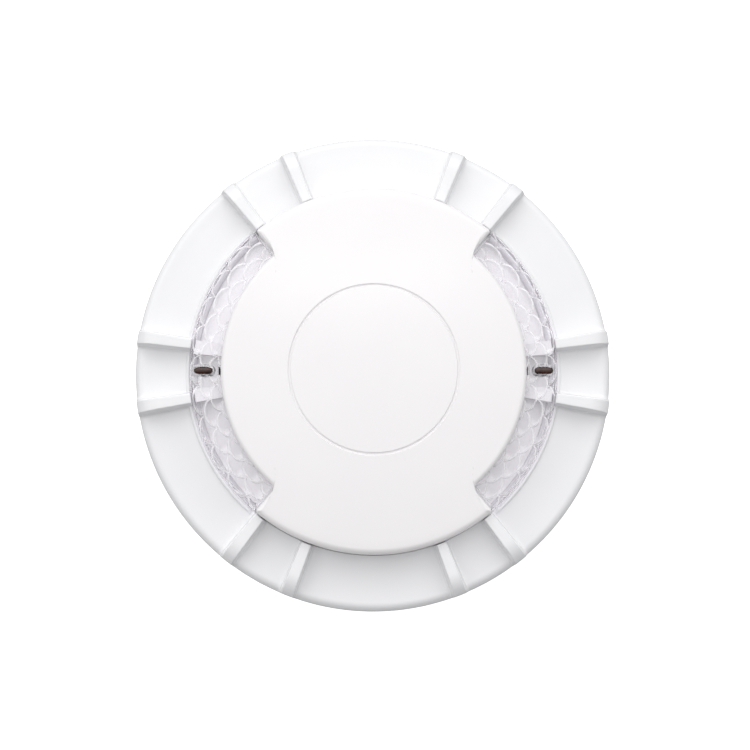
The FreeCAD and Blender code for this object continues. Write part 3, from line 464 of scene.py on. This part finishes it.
def skirt_top(angles):
    """The skirt's upper side: its radii, and a height for every angle and radius."""
    radii = np.concatenate([RIB_ROOT + np.array([0, 0.02, 0.08, 0.18, 0.36]),
                            LIP_RADIUS + LIP_HALF_WIDTH * np.array([0.1, 0.4, 0.7, 0.9, 1.0]),
                            np.linspace(LIP_RADIUS + LIP_HALF_WIDTH + 0.5, RIB_KNEE, 11),
                            np.linspace(RIB_KNEE + 0.7, FLOOR_FLAT, 8),
                            FLOOR_FLAT + RIM_ROLL * np.sin(np.radians(np.linspace(8, 90, 12)))])
    away = np.min(np.abs((angles[:, None] - np.array(RIB_ANGLES)[None, :] + 180) % 360 - 180), axis=1)
    base = floor_height(radii)
    lead_in = np.clip((radii - RIB_ROOT) / RIB_EDGE, 0, 1)
    end_round = RIB_EDGE * (1 - np.sqrt(np.clip(1 - (1 - lead_in) ** 2, 0, 1)))
    tall = np.clip(rib_height(radii) - base - end_round, 0.02, None)
    tall[0] = 0.0
    top = base[None, :] + rib_shape(away[:, None], tall[None, :], radii[None, :])
    top[:, 0] = base[0]
    return radii, np.maximum(top, base[None, :] + lens_lip(angles, radii))


def skirt_inside():
    """The rest of the skirt's section, down its outer wall and up inside to the collar: (radius, height)."""
    foot = SKIRT_RADIUS - FOOT_INSET
    return np.array([(SKIRT_RADIUS, RIM_HEIGHT - 0.6), (foot + 0.02, SKIRT_FOOT + 1.0),
                     (foot - 0.15, SKIRT_FOOT + 0.3), (foot - 0.5, SKIRT_FOOT),
                     (foot - WALL + 0.3, SKIRT_FOOT), (foot - WALL, SKIRT_FOOT + 0.4),
                     (SKIRT_RADIUS - WALL, RIM_HEIGHT - WALL), (FLOOR_FLAT, FLOOR_FLAT_HEIGHT - WALL),
                     (WELL_RADIUS + WALL, FLOOR_FLAT_HEIGHT + FLOOR_RISE - WALL),
                     (WELL_RADIUS + WALL, COVER_FOOT - WALL), (COLLAR_BORE + WALL, COVER_FOOT - WALL),
                     (COLLAR_BORE + WALL, COLLAR_FOOT), (COLLAR_BORE, COLLAR_FOOT)])


def make_skirt(material):
    """The outer ring as one closed skin: its section at every angle round the axis."""
    angles = skirt_angles()
    edge_turn = np.radians([0, 30, 60, 90])
    well = np.concatenate([[COLLAR_BORE, WELL_RADIUS], WELL_RADIUS + WELL_EDGE * (1 - np.cos(edge_turn))])
    well_height = np.concatenate([[COVER_FOOT, COVER_FOOT],
                                  floor_height(WELL_RADIUS) - WELL_EDGE * (1 - np.sin(edge_turn))])
    radii, top = skirt_top(angles)
    inside = skirt_inside()
    count = len(angles)
    well, well_height, radii, inside_radius, inside_height = [
        np.broadcast_to(values, (count, len(values)))
        for values in (well, well_height, radii, inside[:, 0], inside[:, 1])]
    section_radius = np.concatenate([well, radii, inside_radius], axis=1)
    section_height = np.concatenate([well_height, top, inside_height], axis=1)
    points = polar(section_radius, angles[:, None], section_height)
    faces = grid_faces(count, section_radius.shape[1], wrap_rows=True, wrap_columns=True)
    return piece_from("skirt_shell", points.reshape(-1, 3), faces, material, ["skirt"],
                      SKIRT_CREASE)


# ---- front cover -------------------------------------------------------------------------------------

DOME_DROP = 5.0
DOME_SPAN = 63.0
RING_RADIUS = 29.8
RING_WIDTH = 1.0
RING_DEPTH = 0.65
RING_FLOOR = 0.18
RING_BANK = 0.62
NOTCH_CORNER = 2.0
COVER_CORNER = 1.0
COVER_EDGE = 2.2
NOTCH_EDGE = 1.6
COVER_UNDER = 2.2
COVER_CORE = NOTCH_RADIUS - 7.0
POLE_RADIUS = 0.6
# Points along a quarter outline: lobe, its corner, the straight side, the notch corner, the notch.
OUTLINE_COUNTS = (74, 10, 22, 10, 60)
OUTLET_LOW = COVER_FOOT + 4.8
OUTLET_HIGH = COVER_FOOT + 7.4
# Each sound outlet: its middle and its width, in degrees.
OUTLETS = [(90, 26), (270, 26)] + [(a, 8) for a in (60.35, 119.65, 240.35, 299.65)]


def dome_height(radius):
    return CROWN - DOME_DROP / DOME_SPAN ** 2 * radius ** 2


def arc_points(centre, radius, first, last):
    """Points round a centre while the direction turns evenly from first to last."""
    start, end = (math.atan2(v[1], v[0]) for v in (first, last))
    sweep = (end - start + math.pi) % (2 * math.pi) - math.pi
    turn = start + sweep * np.linspace(0, 1, len(radius))
    return centre + radius[:, None] * unit(turn)


def quarter_outline(offset):
    """Half of one lobe's outline and half of one notch, from the lobe's middle to the notch's middle.

    offset gives how far inside the edge each point lies.
    """
    outer, inner, corner = COVER_RADIUS, NOTCH_RADIUS, NOTCH_CORNER
    along = direction(NOTCH_HALF_ANGLE)
    inward = np.array([-along[1], along[0]])
    d_arc, d_corner, d_line, d_notch_corner, d_notch = np.split(offset, np.cumsum(OUTLINE_COUNTS)[:-1])
    arc_count, corner_count, line_count, _, notch_count = OUTLINE_COUNTS
    round_off = np.maximum(COVER_CORNER, d_corner + 0.2)
    reach = np.sqrt((outer - round_off) ** 2 - round_off ** 2)
    centres = reach[:, None] * along + round_off[:, None] * inward
    first_angle = math.degrees(math.atan2(centres[0][1], centres[0][0]))
    arc_turn = np.radians(np.linspace(90, first_angle, arc_count, endpoint=False))
    lobe = (outer - d_arc)[:, None] * unit(arc_turn)
    start, end = math.atan2(centres[0][1], centres[0][0]), math.atan2(-inward[1], -inward[0])
    turn = start + (end - start) * np.linspace(0, 1, corner_count)
    convex = centres + (round_off - d_corner)[:, None] * unit(turn)
    fillet_reach = math.sqrt((inner + corner) ** 2 - corner ** 2)
    line_reach = np.linspace(reach[-1], fillet_reach, line_count + 2)[1:-1]
    line = line_reach[:, None] * along + d_line[:, None] * inward
    fillet_centre = fillet_reach * along - corner * inward
    concave = arc_points(fillet_centre, corner + d_notch_corner, inward, -fillet_centre)
    last_angle = math.degrees(math.atan2(fillet_centre[1], fillet_centre[0]))
    notch_turn = np.radians(np.linspace(last_angle, 0, notch_count + 1)[1:])
    notch = (inner - d_notch)[:, None] * unit(notch_turn)
    return np.concatenate([lobe, convex, line, concave, notch])


def cover_loop(offset):
    """The whole closed outline of the cover, set in by an offset that varies along each quarter."""
    quarter = quarter_outline(offset)
    half = np.concatenate([quarter, quarter[::-1][1:] * np.array([1, -1])])
    return np.concatenate([half, half[::-1][1:-1] * np.array([-1, 1])])


def around(quarter):
    """Repeats one quarter's values in the order of cover_loop's points."""
    half = np.concatenate([quarter, quarter[::-1][1:]])
    return np.concatenate([half, half[::-1][1:-1]])


def cover_spans():
    """For each point of a quarter outline: its edge rounding and its foot height."""
    arc, corner, line, inner_corner, notch = OUTLINE_COUNTS
    edge = np.concatenate([np.full(arc, COVER_EDGE), np.linspace(COVER_EDGE, NOTCH_EDGE, corner),
                           np.full(line + inner_corner + notch, NOTCH_EDGE)])
    side_foot, notch_foot = LENS_TOP - 3.0, LENS_TOP - 1.0
    foot = np.concatenate([np.full(arc, COVER_FOOT), np.full(corner + line, side_foot),
                           np.linspace(side_foot, notch_foot, inner_corner), np.full(notch, notch_foot)])
    return edge, foot


def ring_dip(radius):
    """The fine ring groove, with softened edges."""
    off = np.abs(radius - RING_RADIUS)
    return RING_DEPTH * (1 - smooth_step(RING_WIDTH * RING_FLOOR, RING_WIDTH * RING_BANK, off))


def evenly_turned(outline):
    """Unit directions spaced round the circle as the outline's points are spaced along its length."""
    length = np.concatenate([[0], np.cumsum(np.linalg.norm(np.diff(outline, axis=0), axis=1))])
    length = length / (length[-1] + np.linalg.norm(outline[0] - outline[-1]))
    return unit(np.pi / 2 - 2 * np.pi * length)


def cover_top(circle, edge):
    """Loops of the cover's face, from its middle out to its rounded edge: flat points and their heights."""
    bank = np.array([0.15, 0.3, 0.45, RING_BANK, 0.9])
    groove = RING_RADIUS + RING_WIDTH * np.concatenate([-bank[::-1], [0], bank])
    core_radii = np.concatenate([[POLE_RADIUS, 2], np.linspace(5, RING_RADIUS - 2, 8), groove,
                                 np.linspace(RING_RADIUS + 3, COVER_CORE, 6)])
    loops = [(circle * radius, np.full(len(circle), dome_height(radius) - ring_dip(radius)))
             for radius in core_radii]
    inner_loop = cover_loop(edge)
    for part in (0.25, 0.5, 0.72, 0.88):
        flat = circle * COVER_CORE * (1 - part) + inner_loop * part
        loops.append((flat, dome_height(np.linalg.norm(flat, axis=1))))
    for part in (1.0, 0.8, 0.62, 0.46, 0.32, 0.2, 0.11, 0.05, 0.015, 0.0):
        flat = cover_loop(edge * part)
        drop = around(edge) * (1 - np.sqrt(1 - (1 - part) ** 2))
        loops.append((flat, dome_height(np.linalg.norm(flat, axis=1)) - drop))
    return loops


def cover_underside(circle, outline, top_edge, foot, edge):
    """Loops down the cover's side wall, up inside it and back to the middle."""
    foot_round = np.minimum(around(foot), top_edge - 0.1)
    loops = [(outline, top_edge + (foot_round - top_edge) * part) for part in (0.3, 0.7, 1.0)]
    inner_wall = cover_loop(np.full(len(edge), WALL))
    under = dome_height(np.linalg.norm(inner_wall, axis=1)) - COVER_UNDER - 0.6
    loops += [(inner_wall, np.minimum(foot_round, under)), (inner_wall, under)]
    return loops + [(circle * radius, np.full(len(circle), dome_height(radius) - COVER_UNDER))
                    for radius in (COVER_CORE, COVER_CORE / 2, POLE_RADIUS)]


def make_front_cover(material):
    """The domed cover as one closed skin with its sound outlets cut through."""
    edge, foot = cover_spans()
    outline = cover_loop(np.zeros(len(edge)))
    circle = evenly_turned(outline)
    loops = cover_top(circle, edge)
    loops += cover_underside(circle, outline, loops[-1][1], foot, edge)
    points = np.concatenate([np.column_stack([flat, height]) for flat, height in loops])
    count = len(outline)
    faces = grid_faces(len(loops), count, wrap_columns=True)
    top_pole, under_pole = len(points), len(points) + 1
    last = (len(loops) - 1) * count
    faces += [[top_pole, i, (i + 1) % count] for i in range(count)]
    faces += [[under_pole, last + (i + 1) % count, last + i] for i in range(count)]
    points = np.concatenate([points, [[0, 0, CROWN], [0, 0, CROWN - COVER_UNDER]]])
    cover = piece_from("front_cover_shell", points, faces, material, ["front_cover"],
                       COVER_CREASE)
    cutters = [outlet_cutter(angle, width) for angle, width in OUTLETS]
    combine(cover, cutters, "DIFFERENCE", COVER_CREASE)


def outlet_cutter(angle, width):
    """A sound outlet through the cover's side wall, with rounded ends."""
    turn = np.radians(np.linspace(0, 360, 24, endpoint=False))
    half_tall = (OUTLET_HIGH - OUTLET_LOW) / 2
    half_wide = math.radians(width / 2) * COVER_RADIUS
    across = np.sign(np.cos(turn)) * (half_wide - half_tall) + half_tall * np.cos(turn)
    up = (OUTLET_LOW + OUTLET_HIGH) / 2 + half_tall * np.sin(turn)
    degrees = angle + np.degrees(across / COVER_RADIUS)
    points = np.concatenate([polar(radius, degrees, up) for radius in (COVER_RADIUS - 5, COVER_RADIUS + 1.5)])
    faces = grid_faces(2, len(turn), wrap_columns=True) + end_caps(len(turn), len(turn))
    return loose_solid("sound outlet", points, faces)


# ---- lenses ------------------------------------------------------------------------------------------

LENS_HALF_ANGLE = 49.5
LENS_WALL = 1.8
LENS_SIDE_WALL = 0.7
LENS_SHOULDER = 0.7
LENS_SHOULDER_TOP = LENS_TOP - 0.8
LENS_SIDE = LENS_SHOULDER_TOP - LENS_SHOULDER
LENS_INNER_RADIUS = NOTCH_RADIUS - 3.5
SCALE_ROWS = 6
SCALE_ROW = 3.2
SCALE_SPREAD = 10.0
SCALE_ARCH = 3.4
SCALE_RELIEF = 1.0
SCALE_EDGE = 0.6
SCALE_FIRST = LENS_RADIUS + 0.1
# Where the painted highlight lies behind each free edge, and how wide it is.
PAINTED_GLINT_BEHIND = 0.3
PAINTED_GLINT_WIDTH = 0.34
GRID_STEP = 0.2
SENSOR_RADIUS = 60.2
SENSOR_SLOT = (6.9, 2.8)
CLIP_RADIUS = 54.3
CLIP_WINDOW = (1.5, 3.3)


def scale_relief(radius, angle):
    """Overlapping fish scales whose free edges point outwards, and how close each point is to a free edge:
    the weight of the painted highlight there.

    Rows are laid from the outside in, so each inner row lies over the one outside it.
    """
    shape = np.broadcast(radius, angle).shape
    height, painted_edge_glint = np.zeros(shape), np.zeros(shape)
    for row in range(SCALE_ROWS):
        shift = SCALE_SPREAD / 2 if row % 2 else 0.0
        across = (angle - shift + SCALE_SPREAD / 2) % SCALE_SPREAD - SCALE_SPREAD / 2
        part = np.clip(np.abs(across) / (SCALE_SPREAD / 2), 0, 1)
        edge = SCALE_FIRST - SCALE_ROW * row - SCALE_ARCH * (1 - np.sqrt(1 - part ** 2))
        behind = edge - radius
        plate = SCALE_RELIEF * np.clip(1 - behind / (SCALE_ROW + SCALE_ARCH), 0, 1)
        rounded = np.sqrt(np.clip(1 - (1 - np.clip(behind / SCALE_EDGE, 0, 1)) ** 2, 0, 1))
        # Weight of the painted highlight, peaking just behind each free edge.
        near_edge = np.exp(-((behind - PAINTED_GLINT_BEHIND) / PAINTED_GLINT_WIDTH) ** 2)
        painted_edge_glint = np.where(plate * rounded > height, near_edge, painted_edge_glint)
        height = np.maximum(height, plate * rounded)
    return height, painted_edge_glint


def lens_section():
    """The lens's outer face from foot to inner edge: radius, height and how much of the relief it carries."""
    up = np.array([LENS_FOOT, (LENS_FOOT + LENS_SIDE) / 2, LENS_SIDE - 0.5])
    bend = np.linspace(0, 84, 9)
    centre = (LENS_RADIUS - LENS_SHOULDER, LENS_SIDE)
    inward = np.arange(centre[0] - 0.05, LENS_INNER_RADIUS, -GRID_STEP)
    slope = (LENS_TOP - LENS_SHOULDER_TOP) / (centre[0] - LENS_INNER_RADIUS)
    radius = np.concatenate([np.full(len(up), LENS_RADIUS),
                             centre[0] + LENS_SHOULDER * np.cos(np.radians(bend)), inward])
    height = np.concatenate([up, centre[1] + LENS_SHOULDER * np.sin(np.radians(bend)),
                             LENS_SHOULDER_TOP + (centre[0] - inward) * slope])
    carried = np.concatenate([np.zeros(len(up)), smooth_step(15, 75, bend), np.ones(len(inward))])
    return radius, height, carried


def lens_ease(radius, angle, facing):
    """1 over the patterned face and 0 on the smooth pads round the sensor slot and at the ends."""
    side = np.abs(angle - facing)
    along = np.maximum(np.abs(radius - SENSOR_RADIUS) - (SENSOR_SLOT[0] - SENSOR_SLOT[1]) / 2, 0)
    from_slot = np.hypot(along, np.radians(side) * radius)
    pad = smooth_step(SENSOR_SLOT[1] / 2 + 0.4, SENSOR_SLOT[1] / 2 + 0.8, from_slot)
    ends = 1 - smooth_step(LENS_HALF_ANGLE - 0.8, LENS_HALF_ANGLE - 0.4, side)
    return pad * ends


def make_lens(name, facing, material):
    """A scaled clear lens, with openings for the sensor and for the clip that holds it."""
    step = math.degrees(GRID_STEP / LENS_RADIUS)
    angles = facing + np.linspace(-LENS_HALF_ANGLE, LENS_HALF_ANGLE, int(2 * LENS_HALF_ANGLE / step))
    radius, height, carried = lens_section()
    relief, painted_edge_glint = scale_relief(radius[None, :], angles[:, None] - facing)
    ease = lens_ease(radius[None, :], angles[:, None], facing) * carried
    outer_height = height[None, :] + (relief - SCALE_RELIEF) * ease
    outer_radius = np.broadcast_to(radius, outer_height.shape)
    bore = LENS_RADIUS - LENS_SIDE_WALL
    ceiling = LENS_SHOULDER_TOP - LENS_WALL
    inner = np.array([(LENS_INNER_RADIUS, LENS_TOP - LENS_WALL), (bore - 1.0, ceiling),
                      (bore - 0.3, ceiling - 0.3), (bore, ceiling - 1.0), (bore, LENS_FOOT)])
    count = len(angles)
    inner_radius, inner_height = (np.broadcast_to(values, (count, len(inner))) for values in inner.T)
    section_radius = np.concatenate([outer_radius, inner_radius], axis=1)
    section_height = np.concatenate([outer_height, inner_height], axis=1)
    columns = section_radius.shape[1]
    points = polar(section_radius, angles[:, None], section_height)
    faces = grid_faces(count, columns, wrap_columns=True)
    faces += end_caps((count - 1) * columns, columns)
    lens = piece_from(f"{name}_scaled", points.reshape(-1, 3), faces, material, [name],
                      LENS_CREASE)
    # Store the weight of the painted highlight along the scales' free edges.
    painted_glint_weight = np.concatenate([painted_edge_glint * ease, np.zeros((count, len(inner)))], axis=1)
    stored = lens.data.attributes.new("painted_edge_glint", "FLOAT", "POINT")
    stored.data.foreach_set("value", painted_glint_weight.ravel())
    sensor = slot_outline(SENSOR_RADIUS, facing, *SENSOR_SLOT)
    clip = box_outline(CLIP_RADIUS, facing, *CLIP_WINDOW)
    cutters = [upright_prism(label, shape, LENS_SIDE - 3.0, LENS_TOP + 1.0)
               for label, shape in (("sensor opening", sensor), ("clip opening", clip))]
    combine(lens, cutters, "DIFFERENCE", LENS_CREASE)
    return lens


def slot_outline(radius, angle, length, width):
    """A round-ended slot that runs outwards, as a flat outline."""
    turn = np.radians(np.linspace(-90, 90, 13))
    end = width / 2 * unit(turn) + [(length - width) / 2, 0]
    return placed(np.concatenate([end, -end]), radius, angle)


def box_outline(radius, angle, length, width):
    return placed(np.array([(1, -1), (1, 1), (-1, 1), (-1, -1)]) * [length / 2, width / 2], radius, angle)


def placed(outline, radius, angle):
    """Moves a flat outline out to a radius and turns it to face an angle."""
    return (radius + outline[:, :1]) * direction(angle) + outline[:, 1:] * direction(angle + 90)


# ---- what shows through the lenses -------------------------------------------------------------------

TRAY_RADII = (46.2, LENS_RADIUS - LENS_SIDE_WALL - 0.1)
TRAY_LOW = LENS_FOOT - 0.4
TRAY_FLOOR = TRAY_LOW + 1.2
BARRIER_RADII = (49.4, 50.8)
BARRIER_TOP = LENS_TOP - 3.2
REFLECTOR_FOOT = 1.2
REFLECTOR_CURVE = 1.15
# Each wall between the beacon and the sensor, or at an end: its middle and its width, in degrees.
BAFFLES = ((-7.75, 4.4), (7.75, 4.4), (-51.0, 1.6), (51.0, 1.6))
LED_RADIUS = 52.8
LED_WINDOW = 2.4
LED_ANGLES = (-41.0, -18.4, 18.4, 41.0)
BEAD_SIZE = (6.7, 2.6, 2.2)
BEAD_RINGS = 41
BEAD_BLUNTNESS = 3.4
BEAD_ROUNDNESS = 2.4
BEAD_WANDER = 0.05
BEAD_HEIGHT = LENS_TOP - 1.2


def make_tray(name, facing, material):
    """The white reflector tray: a slope that faces outwards, and walls between the beacon and the sensor."""
    (inner, outer), (wall_in, wall_out) = TRAY_RADII, BARRIER_RADII
    along = np.linspace(0, 1, 9)
    slope = zip(outer - REFLECTOR_FOOT - (outer - REFLECTOR_FOOT - wall_out) * along,
                TRAY_FLOOR + (BARRIER_TOP - 0.3 - TRAY_FLOOR) * along ** REFLECTOR_CURVE)
    section = [(inner, TRAY_LOW), (outer, TRAY_LOW), (outer, TRAY_FLOOR), *slope,
               (wall_out - 0.3, BARRIER_TOP), (wall_in, BARRIER_TOP), (wall_in, TRAY_FLOOR),
               (inner, TRAY_FLOOR)]
    reach = BAFFLES[-1][0] + BAFFLES[-1][1] / 2
    tray = closed_sweep(f"{name}_moulded", section, facing + np.linspace(-reach, reach, 160))
    joined = []
    for middle, spread_angle in BAFFLES:
        low, high = (TRAY_LOW + TRAY_FLOOR) / 2, BARRIER_TOP
        first, last = (wall_in + wall_out) / 2, outer
        profile = [(first, low), (last, low), (last, high - 0.4), (last - 0.4, high), (first, high)]
        turn = facing + middle + np.linspace(-spread_angle / 2, spread_angle / 2, 12)
        joined.append(closed_sweep("baffle", profile, turn))
    combine(tray, joined, "UNION", TRAY_CREASE)
    openings = [box_outline(LED_RADIUS, facing + angle, LED_WINDOW, LED_WINDOW) for angle in LED_ANGLES]
    # The sensor and clip openings let the black front board show through, as painted shade inside these
    # windows.
    openings.append(slot_outline(SENSOR_RADIUS, facing, SENSOR_SLOT[0] - 1.6, SENSOR_SLOT[1] - 0.6))
    openings.append(box_outline(CLIP_RADIUS, facing, *CLIP_WINDOW))
    cutters = [upright_prism("opening", shape, TRAY_LOW - 1.0, BARRIER_TOP + 1.0) for shape in openings]
    combine(tray, cutters, "DIFFERENCE", TRAY_CREASE)
    enter(tray, material, [name])


def make_beads(material):
    """Two long dipped beads, one under each sensor opening."""
    long, wide, tall = (size / 2 for size in BEAD_SIZE)
    reach = np.cos(np.radians(np.linspace(0, 180, BEAD_RINGS)))
    turn = np.radians(np.linspace(0, 360, 32, endpoint=False))
    count, last = len(turn), (BEAD_RINGS - 3) * len(turn)
    points, faces = [], []
    for facing in SIDES.values():
        wander = random_bumps(BEAD_RINGS, BEAD_WANDER)
        girth = (1 - np.abs(reach) ** BEAD_BLUNTNESS) ** (1 / BEAD_ROUNDNESS) * (1 + wander)
        across = girth[1:-1, None] * np.cos(turn) * wide
        up = girth[1:-1, None] * np.sin(turn) * tall
        outward = np.broadcast_to(reach[1:-1, None] * long, up.shape)
        flat = placed(np.column_stack([outward.ravel(), across.ravel()]), SENSOR_RADIUS, facing)
        shape = grid_faces(BEAD_RINGS - 2, count, wrap_columns=True) + end_caps(last, count)
        faces += [[len(points) + i for i in face] for face in shape]
        points += np.column_stack([flat, BEAD_HEIGHT + up.ravel()]).tolist()
    piece_from("thermistor_beads_dipped", points, faces, material, ["thermistor_beads"],
               BEAD_CREASE)


def random_bumps(count, size):
    """A smooth random wander along a bead."""
    wave = np.convolve(chance.normal(size=count + 8), np.ones(9) / 9, mode="valid")
    return size * wave / np.abs(wave).max()


# ---- stage -------------------------------------------------------------------------------------------

FLOOR_SIZE = 6000.0
VIEW_TILT = 5.1
VIEW_SIDE = 12.9
VIEW_DISTANCE = 800.0
VIEW_LENS = 107.0
VIEW_AIM = (0.66, -0.53)
SKY_FAR = 2.5
SKY_NEAR = 0.14
SKY_RIGHT = 0.95
SKY_LEFT = 1.3
SKY_TOP = 0.97
# The side light at rising heights: 0 is the horizon and 1 is straight overhead.
SKY_BY_HEIGHT = ((0.0, 0.1), (0.2, 0.36), (0.45, 0.92), (0.7, 1.0), (1.0, 0.65))
SKY_LEVEL = 1.02
SOFTBOX_LEVEL = 2.0
SOFTBOX_LEAN = 0.285


def make_stage():
    """A pale floor under the detector: plain white to the camera, a soft grey to all other light."""
    half = FLOOR_SIZE / 2
    floor = new_object("floor", [(-half, -half, 0), (half, -half, 0), (half, half, 0), (-half, half, 0)],
                       [[0, 1, 2, 3]])
    material, tree, shader = new_material("pale floor")
    tree.links.new(tint(tree, noise(tree, 40.0), (0.49, 0.49, 0.495), (0.52, 0.52, 0.525)),
                   shader.inputs["Base Color"])
    shader.inputs["Roughness"].default_value = 0.6
    shader.inputs["Specular IOR Level"].default_value = 0.1
    shader.inputs["Emission Color"].default_value = (1, 1, 1, 1)
    ray = tree.nodes.new("ShaderNodeLightPath")
    tree.links.new(ray.outputs["Is Camera Ray"], shader.inputs["Emission Strength"])
    floor.data.materials.append(material)


def sky_sides(tree, across, along, up):
    """Light from the four sides of the tent, shared out by direction and then by height."""
    level = arithmetic(tree, "SUBTRACT", 1.0, arithmetic(tree, "POWER", up, 2.0))
    level = arithmetic(tree, "MAXIMUM", level, 1e-4)
    sides = None
    for axis, sign, strength in ((along, 1, SKY_FAR), (along, -1, SKY_NEAR),
                                 (across, 1, SKY_RIGHT), (across, -1, SKY_LEFT)):
        facing = arithmetic(tree, "MAXIMUM", arithmetic(tree, "MULTIPLY", axis, sign), 0.0)
        share = arithmetic(tree, "DIVIDE", arithmetic(tree, "POWER", facing, 2.0), level)
        share = arithmetic(tree, "MULTIPLY", share, strength)
        sides = share if sides is None else arithmetic(tree, "ADD", sides, share)
    by_height = tree.nodes.new("ShaderNodeFloatCurve")
    curve = by_height.mapping.curves[0]
    curve.points[0].location, curve.points[-1].location = SKY_BY_HEIGHT[0], SKY_BY_HEIGHT[-1]
    for height, value in SKY_BY_HEIGHT[1:-1]:
        curve.points.new(height, value)
    by_height.mapping.update()
    tree.links.new(up, by_height.inputs["Value"])
    return arithmetic(tree, "MULTIPLY", sides, by_height.outputs["Value"])


def softbox(tree, across, along, up):
    """One long softbox overhead, leaning to the far side."""
    off_along = arithmetic(tree, "ABSOLUTE", arithmetic(tree, "SUBTRACT", along, SOFTBOX_LEAN))
    box_along = spread(tree, off_along, 1.0, 0.0, 0.03, 0.1, smooth=True)
    box_across = spread(tree, arithmetic(tree, "ABSOLUTE", across), 1.0, 0.0, 0.16, 0.3, smooth=True)
    box = arithmetic(tree, "MULTIPLY", box_along, box_across)
    box = arithmetic(tree, "MULTIPLY", box, arithmetic(tree, "GREATER_THAN", up, 0.0))
    return arithmetic(tree, "MULTIPLY", box, SOFTBOX_LEVEL)


def light_scene():
    """A studio tent, brightest on the far side and darkest on the near side. The camera sees it as white."""
    world = bpy.data.worlds.new("studio")
    world.use_nodes = True
    tree = world.node_tree
    place = node(tree, "ShaderNodeTexCoord")
    parts = node(tree, "ShaderNodeSeparateXYZ")
    tree.links.new(place.outputs["Generated"], parts.inputs["Vector"])
    across, along, up = (parts.outputs[axis] for axis in "XYZ")
    overhead = spread(tree, up, 0.0, 1.0, 0.7, 1.0, smooth=True)
    sides = sky_sides(tree, across, along, up)
    sides = arithmetic(tree, "MULTIPLY", sides, arithmetic(tree, "SUBTRACT", 1.0, overhead))
    sky = arithmetic(tree, "ADD", sides, arithmetic(tree, "MULTIPLY", overhead, SKY_TOP))
    sky = arithmetic(tree, "ADD", sky, softbox(tree, across, along, up))
    sky = arithmetic(tree, "MULTIPLY", sky, SKY_LEVEL)
    backdrop = tree.nodes.new("ShaderNodeLightPath").outputs["Is Camera Ray"]
    sky = arithmetic(tree, "MAXIMUM", sky, backdrop)
    background = tree.nodes["Background"].inputs
    tree.links.new(sky, background["Strength"])
    background["Color"].default_value = (1.0, 1.0, 1.0, 1)
    scene = bpy.context.scene
    scene.world = world
    scene.view_settings.view_transform = "Standard"
    scene.cycles.caustics_reflective = False
    scene.cycles.caustics_refractive = False


def place_camera():
    """A long lens nearly straight above the face, tilted as the view needs."""
    camera = bpy.data.cameras.new("camera")
    camera.lens = VIEW_LENS
    camera.sensor_width = 36.0
    camera.clip_start = 0.05
    eye = bpy.data.objects.new("camera", camera)
    tilt, side = math.radians(VIEW_TILT), math.radians(VIEW_SIDE)
    back = Vector((-math.sin(tilt) * math.sin(side), -math.sin(tilt) * math.cos(side), math.cos(tilt)))
    right = (Vector((1, 0, 0)) - back * back.x).normalized()
    turn = Matrix((right, back.cross(right), back)).transposed().to_4x4()
    turn.translation = (Vector((*VIEW_AIM, RIM_HEIGHT)) + back * VIEW_DISTANCE) * MM
    eye.matrix_world = turn
    bpy.context.collection.objects.link(eye)
    bpy.context.scene.camera = eye


make_skirt(white_skirt)
make_front_cover(white_cover)
for name, facing in SIDES.items():
    make_lens(f"lens_{name}", facing, lens_clear)
    make_tray(f"light_tray_{name}", facing, white_tray)
make_beads(bead_resin())
for name, material in CAD_MATERIALS.items():
    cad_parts[name].data.materials.clear()
    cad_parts[name].data.materials.append(material)
make_stage()
light_scene()
place_camera()
